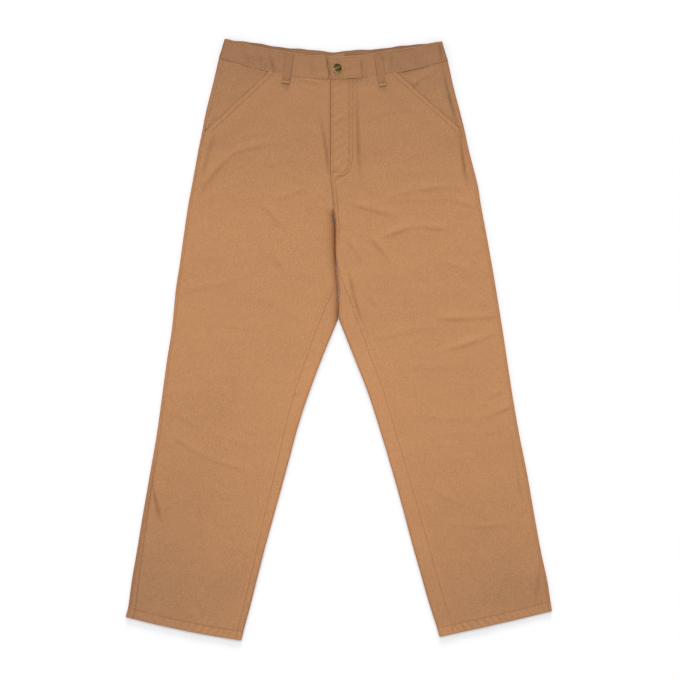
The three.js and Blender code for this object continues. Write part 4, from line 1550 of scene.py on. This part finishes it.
def new_material(name: str) -> tuple[Finish, Tree, bpy.types.Node]:
    """New material with its tree and its principled shader."""
    material = bpy.data.materials.new(name)
    material.use_nodes = True
    tree = material.node_tree
    return material, tree, tree.nodes["Principled BSDF"]


@dataclass(frozen=True)
class DuckFinish:
    """Cotton duck: a firm plain weave, garment-washed, matt with a faint nap.

    Attributes:
        name: Name of the material.
        plain: Colour of the cloth.
        shade_grey: Greyer colour painted where the tone is darker, as on parts that face less light.
        rim: Deeper colour of painted shade, on turned edges, in creases and in the fold.
        weave: Distance between threads. The real ones are 0.5 mm apart, and these are drawn coarser to show.
        nap: Strength of the sheen that the loose fibres give.
    """

    name: str = "cotton_duck"
    plain: str = "#b78358"
    shade_grey: str = "#b4845d"
    rim: str = "#8f5018"
    weave: float = 1.5
    nap: float = 0.12

    def material(self) -> Finish:
        """Makes the material."""
        material, tree, shader = new_material(self.name)
        weave_map = add_node(tree, "ShaderNodeUVMap", {"uv_map": "cloth"}).outputs[0]
        split = add_node(tree, "ShaderNodeSeparateXYZ", inputs={0: weave_map})
        turns = math.pi / (self.weave * MM)
        angles = [computed(tree, "MULTIPLY", split.outputs[axis], turns) for axis in "XY"]
        threads = [computed(tree, "SINE", angle) for angle in angles]
        crossing = computed(tree, "MULTIPLY", *threads)
        grain = noise(tree, {"Scale": 560.0, "Detail": 2.0, "Roughness": 0.6})
        slubs = add_node(tree, "ShaderNodeMapping", {"vector_type": "POINT"},
                         {"Vector": weave_map, "Scale": (700.0, 70.0, 1.0)}).outputs[0]
        slub = noise(tree, {"Vector": slubs, "Scale": 1.0, "Detail": 1.0}, "2D")
        cloud = noise(tree, {"Scale": 14.0, "Detail": 3.0, "Roughness": 0.55})
        tone = attribute(tree, "tone")
        shade = tone
        for source, amount, middle in ((grain, 0.72, 0.5), (slub, 0.16, 0.5), (cloud, 0.07, 0.5),
                                       (crossing, 0.07, 0.0)):
            centred = computed(tree, "SUBTRACT", source, middle)
            shade = computed(tree, "MULTIPLY_ADD", centred, amount, shade)
        # Painted shade: the colour turns greyer as the tone darkens, and deeper where the rim attribute
        # paints shade.
        shade_greyed = mixed(tree, ranged(tree, tone, from_min=1.0, from_max=0.75), self.plain, self.shade_grey)
        shade_tinted = mixed(tree, attribute(tree, "rim"), shade_greyed, self.rim)
        lit = add_node(tree, "ShaderNodeVectorMath", {"operation": "SCALE"}, {0: shade_tinted, "Scale": shade})
        height = computed(tree, "MULTIPLY_ADD", grain, 0.8, crossing)
        bump = add_node(tree, "ShaderNodeBump",
                        inputs={"Strength": 0.5, "Distance": BUMP_DEPTH, "Height": height})
        fill_inputs(tree, shader, {
            "Base Color": lit.outputs[0], "Normal": bump.outputs[0], "Roughness": 0.93, "IOR": 1.5,
            "Specular IOR Level": 0.25, "Sheen Weight": self.nap, "Sheen Roughness": 0.6,
        })
        return material


@dataclass(frozen=True)
class ThreadFinish:
    """Polyester-cotton sewing thread in the cloth's own colour: smooth, with a soft shine."""

    name: str = "sewing_thread"
    plain: str = "#bd895e"

    def material(self) -> Finish:
        """Makes the material."""
        material, tree, shader = new_material(self.name)
        depth = ranged(tree, noise(tree, {"Scale": 300.0}), to_min=0.8, to_max=1.1)
        colour = add_node(tree, "ShaderNodeVectorMath", {"operation": "SCALE"},
                          {0: linear_colour(self.plain)[:3], "Scale": depth})
        fill_inputs(tree, shader, {"Base Color": colour.outputs[0], "Roughness": 0.65, "IOR": 1.5})
        return material


@dataclass(frozen=True)
class BrassFinish:
    """Antique brass: pressed, darkened in a bath and worn bright on its high parts, with a painted highlight
    and a painted reflection.
    """

    name: str = "antique_brass"
    bright: str = "#f0d594"
    dark: str = "#58390c"

    def material(self) -> Finish:
        """Makes the material."""
        material, tree, shader = new_material(self.name)
        patina = noise(tree, {"Scale": 260.0, "Detail": 4.0, "Roughness": 0.6})
        # Share of the bright colour: worn high parts, a painted highlight and a painted reflection, broken by
        # the patina.
        worn_and_highlit = add_node(tree, "ShaderNodeMath", {"operation": "MULTIPLY", "use_clamp": True},
                              {0: attribute(tree, "rub_and_highlight"), 1: ranged(tree, patina, to_min=0.4, to_max=1.5)})
        fill_inputs(tree, shader, {
            "Base Color": mixed(tree, worn_and_highlit.outputs[0], self.dark, self.bright),
            "Roughness": ranged(tree, patina, to_min=0.3, to_max=0.5), "Metallic": 1.0,
        })
        return material


@dataclass
class Stitching:
    """Rows of stitches, each one a short rounded length of thread, laid on a piece's surface.

    Attributes:
        pitch: Distance from one stitch to the next.
        length: Length of a stitch.
        thread: Width of the thread as it lies.
    """

    pitch: float = 3.1
    length: float = 2.5
    thread: float = 0.8
    points: Array = field(init=False, repr=False)
    faces: Array = field(init=False, repr=False)

    def __post_init__(self) -> None:
        """Models the stitch once, for all the rows."""
        self.points, self.faces = self.unit()

    def unit(self) -> tuple[Array, Array]:
        """Models one stitch from a short bar, with its two ends drawn in and sunk.

        Returns:
            Its points in millimetres, lying along X, and its triangles.
        """
        bpy.ops.object.select_all(action="DESELECT")
        bpy.ops.mesh.primitive_cylinder_add(vertices=6, radius=self.thread / 2, depth=self.length * 0.6)
        piece = bpy.context.object
        bpy.ops.object.mode_set(mode="EDIT")
        bpy.ops.mesh.select_mode(type="FACE")
        bpy.ops.mesh.select_all(action="DESELECT")
        bpy.ops.object.mode_set(mode="OBJECT")
        for polygon in piece.data.polygons:
            polygon.select = abs(polygon.normal.z) > 0.9
        bpy.ops.object.mode_set(mode="EDIT")
        bpy.ops.mesh.extrude_faces_move()
        bpy.ops.object.mode_set(mode="OBJECT")
        half = self.length * 0.3
        for vertex in piece.data.vertices:
            if vertex.select:
                end = math.copysign(self.length * 0.2, vertex.co.z)
                inner = math.copysign(half, vertex.co.z)
                vertex.co = (vertex.co.x * 0.45 - self.thread * 0.25, vertex.co.y * 0.45, inner + end)
        points = np.array([vertex.co[:] for vertex in piece.data.vertices])
        faces = [tuple(polygon.vertices) for polygon in piece.data.polygons]
        bpy.data.objects.remove(piece)
        laid = np.stack([points[:, 2], points[:, 1], points[:, 0]], axis=1)
        triangles = [(face[0], face[step + 1], face[step])
                     for face in faces for step in range(1, len(face) - 1)]
        return laid, np.array(triangles)

    def along(self, line: Array) -> tuple[Array, Array]:
        """Middles and directions of the stitches on a line in plan."""
        steps = np.linalg.norm(np.diff(line, axis=0), axis=1)
        lengths = np.concatenate([[0], np.cumsum(steps)])
        count = max(1, int(lengths[-1] / self.pitch))
        middles = (np.arange(count) + 0.5) * lengths[-1] / count
        ends = [np.stack([np.interp(middles + shift, lengths, line[:, axis]) for axis in (0, 1)], axis=1)
                for shift in (-0.5, 0.5)]
        direction = ends[1] - ends[0]
        return (ends[0] + ends[1]) / 2, direction / np.linalg.norm(direction, axis=1, keepdims=True)

    def sew(self, name: str, lines: Iterable[Array], onto: Piece,
            finish: Finish, above: float = 0.12) -> Piece | None:
        """Lays rows of stitches on a piece.

        Args:
            name: Name of the new object.
            lines: Lines in plan, in millimetres.
            onto: The piece that the stitches lie on.
            finish: Material of the thread.
            above: How far the middle of a stitch lies above the surface.

        Returns:
            The new object, or None if no line meets the piece.
        """
        all_points, all_faces, count = [], [], 0
        for line in lines:
            middles, directions = self.along(line)
            for middle, direction in zip(middles, directions):
                hit, place, normal, _ = onto.ray_cast(Vector((*(middle * MM), 1.0)), Vector((0, 0, -1)))
                if not hit:
                    continue
                up = np.array(normal)
                forward = np.array([*direction, 0.0])
                forward = forward - up * forward.dot(up)
                forward /= np.linalg.norm(forward)
                side = np.cross(up, forward)
                base = np.array(place) / MM + up * above
                all_points.append(base + self.points @ np.stack([forward, side, up]))
                all_faces.append(self.faces + count * len(self.points))
                count += 1
        if not count:
            return None
        mesh = bpy.data.meshes.new(name)
        mesh.from_pydata((np.concatenate(all_points) * MM).tolist(), [], np.concatenate(all_faces).tolist())
        mesh.polygons.foreach_set("use_smooth", np.ones(len(mesh.polygons), bool))
        mesh.materials.append(finish)
        piece = linked(name, mesh)
        log.info("%s: %d stitches", name, count)
        return piece


@dataclass
class Button:
    """Shank button: a plain domed face inside a rolled rim, on a thin shank.

    Attributes:
        name: Name of its CAD node.
        rim_width: Width of the rolled rim.
        face_drop: How far the face lies below the rim.
        dome: How strongly the face swells.
        groove_width: Width of the step between the rim and the face.
        cap_height: Height of the cap.
        head_height: How far the underside of the cap lies below the node's top.
        shank_radius: Radius at which the underside runs in to the shank.
    """

    name: str = "button"
    rim_width: float = 0.95
    face_drop: float = 0.55
    dome: float = 0.75
    groove_width: float = 0.35
    cap_height: float = 2.4
    head_height: float = 3.6
    shank_radius: float = 2.2

    def build(self, finish: Finish) -> Piece:
        """Models the button from a disc at the place of its node.

        Args:
            finish: Material of the button.

        Returns:
            The finished button.
        """
        low, high = (np.array(corner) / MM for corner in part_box(self.name))
        centre = (low[:2] + high[:2]) / 2
        radius = (high[0] - low[0]) / 2
        head = high[2] - self.head_height
        bpy.ops.object.select_all(action="DESELECT")
        bpy.ops.mesh.primitive_cylinder_add(vertices=64, radius=radius, depth=self.cap_height,
                                            location=(*centre, head + self.cap_height / 2))
        piece = bpy.context.object
        piece.name = piece.data.name = "button_cap"
        bpy.ops.object.mode_set(mode="EDIT")
        self.choose(piece, lambda face: face.normal.z > 0.9)
        bpy.ops.mesh.inset(thickness=self.rim_width)
        bpy.ops.mesh.inset(thickness=self.groove_width)
        bpy.ops.transform.translate(value=(0, 0, -self.face_drop))
        for step in range(5):
            bpy.ops.mesh.inset(thickness=(radius - self.rim_width - self.groove_width) / 6)
            bpy.ops.transform.translate(value=(0, 0, self.dome * (0.42 - 0.07 * step)))
        self.choose(piece, lambda face: face.normal.z < -0.9)
        bpy.ops.mesh.inset(thickness=radius - self.shank_radius)
        bpy.ops.mesh.inset(thickness=0.8)
        bpy.ops.mesh.extrude_region_move(TRANSFORM_OT_translate={"value": (0, 0, low[2] - head)})
        bpy.ops.object.mode_set(mode="OBJECT")
        bevel = piece.modifiers.new("rolled", "BEVEL")
        bevel.width, bevel.segments, bevel.limit_method, bevel.angle_limit = 0.4, 4, "ANGLE", math.radians(38)
        bpy.ops.object.modifier_apply(modifier=bevel.name)
        bpy.ops.object.transform_apply(location=True, rotation=True, scale=True)
        piece.data.transform(((MM, 0, 0, 0), (0, MM, 0, 0), (0, 0, MM, 0), (0, 0, 0, 1)))
        piece.data.materials.clear()
        piece.data.materials.append(finish)
        bpy.ops.object.shade_smooth_by_angle(angle=math.radians(35))
        places = [np.array(vertex.co[:2]) / MM - centre for vertex in piece.data.vertices]
        # The brass is brighter on its worn rim, with a painted highlight across its face and a painted
        # reflection on the rim's lower left.
        rub_and_highlight = [self.rub_and_highlight(*place, radius) for place in places]
        piece.data.attributes.new("rub_and_highlight", "FLOAT", "POINT").data.foreach_set("value", rub_and_highlight)
        return piece

    def rub_and_highlight(self, x: float, y: float, radius: float) -> float:
        """How bright the brass is: a painted highlight in a band across the face, and the worn rim with a
        painted reflection brightest at its lower left.
        """
        if math.hypot(x, y) < radius - self.rim_width - 0.9:
            return 0.16 + 0.75 * float(bell(np.array(y - 0.45 * x - 0.6), 1.5))
        return max(0.05, 0.42 + 0.75 * math.cos(math.atan2(y, x) + 2.3))

    @staticmethod
    def choose(piece: Piece, wanted: Callable[[bpy.types.MeshPolygon], bool]) -> None:
        """Selects the faces that are wanted, and leaves the piece in edit mode."""
        bpy.ops.mesh.select_mode(type="FACE")
        bpy.ops.mesh.select_all(action="DESELECT")
        bpy.ops.object.mode_set(mode="OBJECT")
        for polygon in piece.data.polygons:
            polygon.select = wanted(polygon)
        bpy.ops.object.mode_set(mode="EDIT")


@dataclass(frozen=True)
class SheetCut:
    """Size that a piece was cut to: its width, its length and its area, in metres."""

    width: float
    length: float
    area: float


@dataclass
class Studio:
    """Pale surface, soft light from above, and a camera that looks straight down.

    Attributes:
        pixel: Size of one pixel of the photograph's frame at the pants, in millimetres.
        frame_pixels: Width of the frame in pixels.
        lens: Focal length in millimetres, long so that the view is nearly flat.
        sensor: Width of the camera's sensor in millimetres.
        centre: Place in plan over which the camera hangs.
    """

    pixel: float = 1.87
    frame_pixels: int = 680
    lens: float = 110.0
    sensor: float = 36.0
    centre: Place = (1.9, -0.7)

    def camera(self) -> None:
        """Hangs the camera over the pants."""
        data = bpy.data.cameras.new("overhead")
        data.lens, data.sensor_width, data.sensor_fit = self.lens, self.sensor, "HORIZONTAL"
        distance = self.pixel * self.frame_pixels * self.lens / self.sensor
        data.clip_end = 20.0
        camera = linked("overhead", data)
        camera.location = (self.centre[0] * MM, self.centre[1] * MM, distance * MM)
        bpy.context.scene.camera = camera

    def light(self) -> None:
        """Adds the two lights from above the waist and the room's own light."""
        for name, strength, width, tilt in (("key", 1.5, 50, -28), ("low", 1.7, 16, -74)):
            lamp = bpy.data.lights.new(name, "SUN")
            lamp.energy, lamp.angle = strength, math.radians(width)
            light = linked(name, lamp)
            light.rotation_euler = (math.radians(tilt), 0, 0)
            light.visible_glossy = False
        world = bpy.data.worlds.new("room")
        world.use_nodes = True
        tree = world.node_tree
        sky = add_node(tree, "ShaderNodeSeparateXYZ",
                       inputs={0: add_node(tree, "ShaderNodeTexCoord").outputs["Generated"]})
        above = computed(tree, "MULTIPLY", sky.outputs["Z"], sky.outputs["Z"])
        strength = computed(tree, "MULTIPLY_ADD", above, -0.62, 0.86)
        for axis, share in (("X", -0.14), ("Y", -0.16)):
            strength = computed(tree, "MULTIPLY_ADD", sky.outputs[axis], share, strength)
        fill_inputs(tree, tree.nodes["Background"], {"Strength": strength, "Color": linear_colour("#fbfcff")})
        bpy.context.scene.world = world
        bpy.context.scene.view_settings.view_transform = "Standard"

    def floor(self) -> None:
        """Lays the surface under the pants."""
        bpy.ops.object.select_all(action="DESELECT")
        bpy.ops.mesh.primitive_plane_add(size=12, location=(0, 0, -0.0002))
        floor = bpy.context.object
        floor.name = "floor"
        material, tree, shader = new_material("white_paper")
        fill_inputs(tree, shader, {"Base Color": linear_colour("#f7f7f7"), "Roughness": 0.9})
        floor.data.materials.append(material)


@dataclass
class Pants:
    """The whole garment: it builds each piece, dresses it and sets it in the frame."""

    right: Leg
    left: Leg
    relief: Relief = field(default_factory=Relief)
    pieces: dict[str, Piece] = field(default_factory=dict)

    def seat(self, piece: Piece, node: str | None) -> None:
        """Makes a piece ride on the body and hides the node that it stands for."""
        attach(piece, BODY)
        if node:
            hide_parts(node)
        self.pieces[piece.name] = piece
        log.info("%s: %d faces", piece.name, len(piece.data.polygons))

    def cloth(self, shell: Shell, finish: Finish, slot: str, kind: str,
              rests_on: tuple[str, ...]) -> Piece:
        """Builds a piece of cloth from its shell and seats it on the body.

        Args:
            shell: The cloth's shell.
            finish: Material of the cloth.
            slot: Material slot. Not used.
            kind: Which of the cuts it is. Not used.
            rests_on: Names of what it lies on. Not used.

        Returns:
            The piece.
        """
        node = shell.name
        shell.name = f"{node}_cloth"
        piece = shell.build(finish)
        self.seat(piece, node)
        return piece

    def build(self) -> None:
        """Builds every piece of the garment."""
        duck, thread, brass = DuckFinish().material(), ThreadFinish().material(), BrassFinish().material()
        stitching, tack = Stitching(), Stitching(pitch=2.4, length=2.6, thread=1.0)
        tack_thread = ThreadFinish("tack_thread", "#bf8d62").material()
        for leg in (self.right, self.left):
            back = self.cloth(BackPanel(leg, self.relief).shell(), duck, "duck", "back_panel", ("floor",))
            facing = self.cloth(PocketFacing(leg).shell(), duck, "duck", "pocket_facing", (back.name,))
            panel = FrontPanel(leg, self.relief)
            front = self.cloth(panel.shell(), duck, "duck", "front_panel", (back.name, facing.name))
            bpy.context.view_layer.update()
            self.sew_front(panel, front, back, stitching, thread)
        band = self.cloth(Waistband(self.right, self.left).shell(), duck, "band_duck", "waistband",
                          ("back_panel_r_cloth", "back_panel_l_cloth"))
        bpy.context.view_layer.update()
        self.sew_band(band, stitching, thread)
        self.sew_tacks(band, front)
        for place in LOOP_PLACES:
            loop = BeltLoop(place)
            cloth = self.cloth(loop.shell(), duck, "band_duck", "belt_loop", (band.name,))
            if place.on_front:
                bpy.context.view_layer.update()
                self.seat_sewing(stitching.sew(f"{place.name}_rows", loop.stitch_lines(), cloth, thread))
                self.seat_sewing(tack.sew(f"{place.name}_tack", loop.tack_lines(), cloth, tack_thread, 0.35))
        self.seat(Button().build(brass), "button")

    def seat_sewing(self, sewing: Piece | None) -> None:
        """Seats a row of stitches, if there is one."""
        if sewing:
            self.seat(sewing, None)

    def sew_front(self, panel: FrontPanel, front: Piece, back: Piece,
                  stitching: Stitching, thread: Finish) -> None:
        """Sews the rows of one front: inseam, pocket, fly, rise and hem."""
        leg = panel.leg
        lines = [panel.seam_line(inwards=row, rows=(INSEAM_TOP_ROW, leg.last_row)) for row in INSEAM_ROWS]
        lines += [panel.seam_line(outwards=row, rows=(0, POCKET_END_ROW - 0.1)) for row in POCKET_ROWS]
        if leg.over_fly:
            lines += self.fly_lines(panel)
        hem = panel.hem_line(HEM_ROW)
        lines.append(hem)
        self.seat_sewing(stitching.sew(f"front_rows_{leg.suffix}", lines, front, thread))
        self.seat_sewing(stitching.sew(f"hem_rows_{leg.suffix}", [hem], back, thread))

    def fly_lines(self, panel: FrontPanel) -> list[Array]:
        """Lines of the fly: its two rows, its edge, and the two rows of the rise below it."""
        edge = panel.seam_line(inwards=RISE_ROWS[0])
        rise = panel.seam_line(inwards=RISE_ROWS[1])
        in_rise = (rise[:, 1] > CROTCH_Y) & (rise[:, 1] < FLY_FOOT_Y)
        return fly_paths() + [edge[edge[:, 1] > CROTCH_Y], rise[in_rise]]

    def sew_band(self, band: Piece, stitching: Stitching, thread: Finish) -> None:
        """Sews the rows along the waistband's front."""
        strip = Waistband(self.right, self.left)
        lines = []
        for leg in (self.right, self.left):
            lower, share, _ = strip.lower_edge(leg)
            front = lower[:, 2] > BAND_LEVEL + BAND_SPREAD * 0.9
            height = strip.heights(leg, share, front)
            seen = front if leg.over_fly else front & (lower[:, 0] < RIGHT_END_SEEN)
            for up in (BAND_ROW, height - BAND_TOP_ROW):
                lines.append(strip.at_height(leg, lower, share, up)[seen][1:])
        lines.append(np.array([[-18.6, 522], [-14.6, 490]]))
        self.seat_sewing(stitching.sew("waistband_rows", lines, band, thread))

    def sew_tacks(self, band: Piece, front: Piece) -> None:
        """Sews the buttonhole's end and the short bars of the fly, in a paler thread."""
        pale = ThreadFinish("pale_thread", "#d3b493").material()
        gold = ThreadFinish("gold_thread", "#c08a45").material()
        bar = Stitching(pitch=0.9, length=1.9, thread=0.7)
        welt = [np.array([[5.5, 505.2 + side], [17.5, 505.4 + side]]) for side in (-0.8, 0.8)]
        self.seat_sewing(bar.sew("buttonhole_end", welt, band, gold, 0.2))
        dots = [np.array([[6.2, 505.6], [8.4, 505.4]]), np.array([[-18.6, 521.6], [-16.8, 523.2]])]
        self.seat_sewing(bar.sew("thread_ends", dots, band, pale, 0.35))
        bars = [np.array([[-14, 313.0], [3.5, 313.4]]), np.array([[17.4, 341], [17.8, 334]])]
        self.seat_sewing(bar.sew("fly_bars", bars, front, gold, 0.2))


def main() -> None:
    """Builds the pants and the studio, and reports each piece."""
    logging.basicConfig(level=logging.INFO, format="%(name)s %(message)s")
    right = Leg("r", -1, RIGHT_STATIONS, RIGHT_POCKET, over_fly=False, pinch=0.5)
    left = Leg("l", 1, LEFT_STATIONS, LEFT_POCKET, over_fly=True, pinch=0.15)
    Pants(right, left).build()
    studio = Studio()
    studio.camera()
    studio.light()
    studio.floor()


if __name__ == "__main__":
    main()
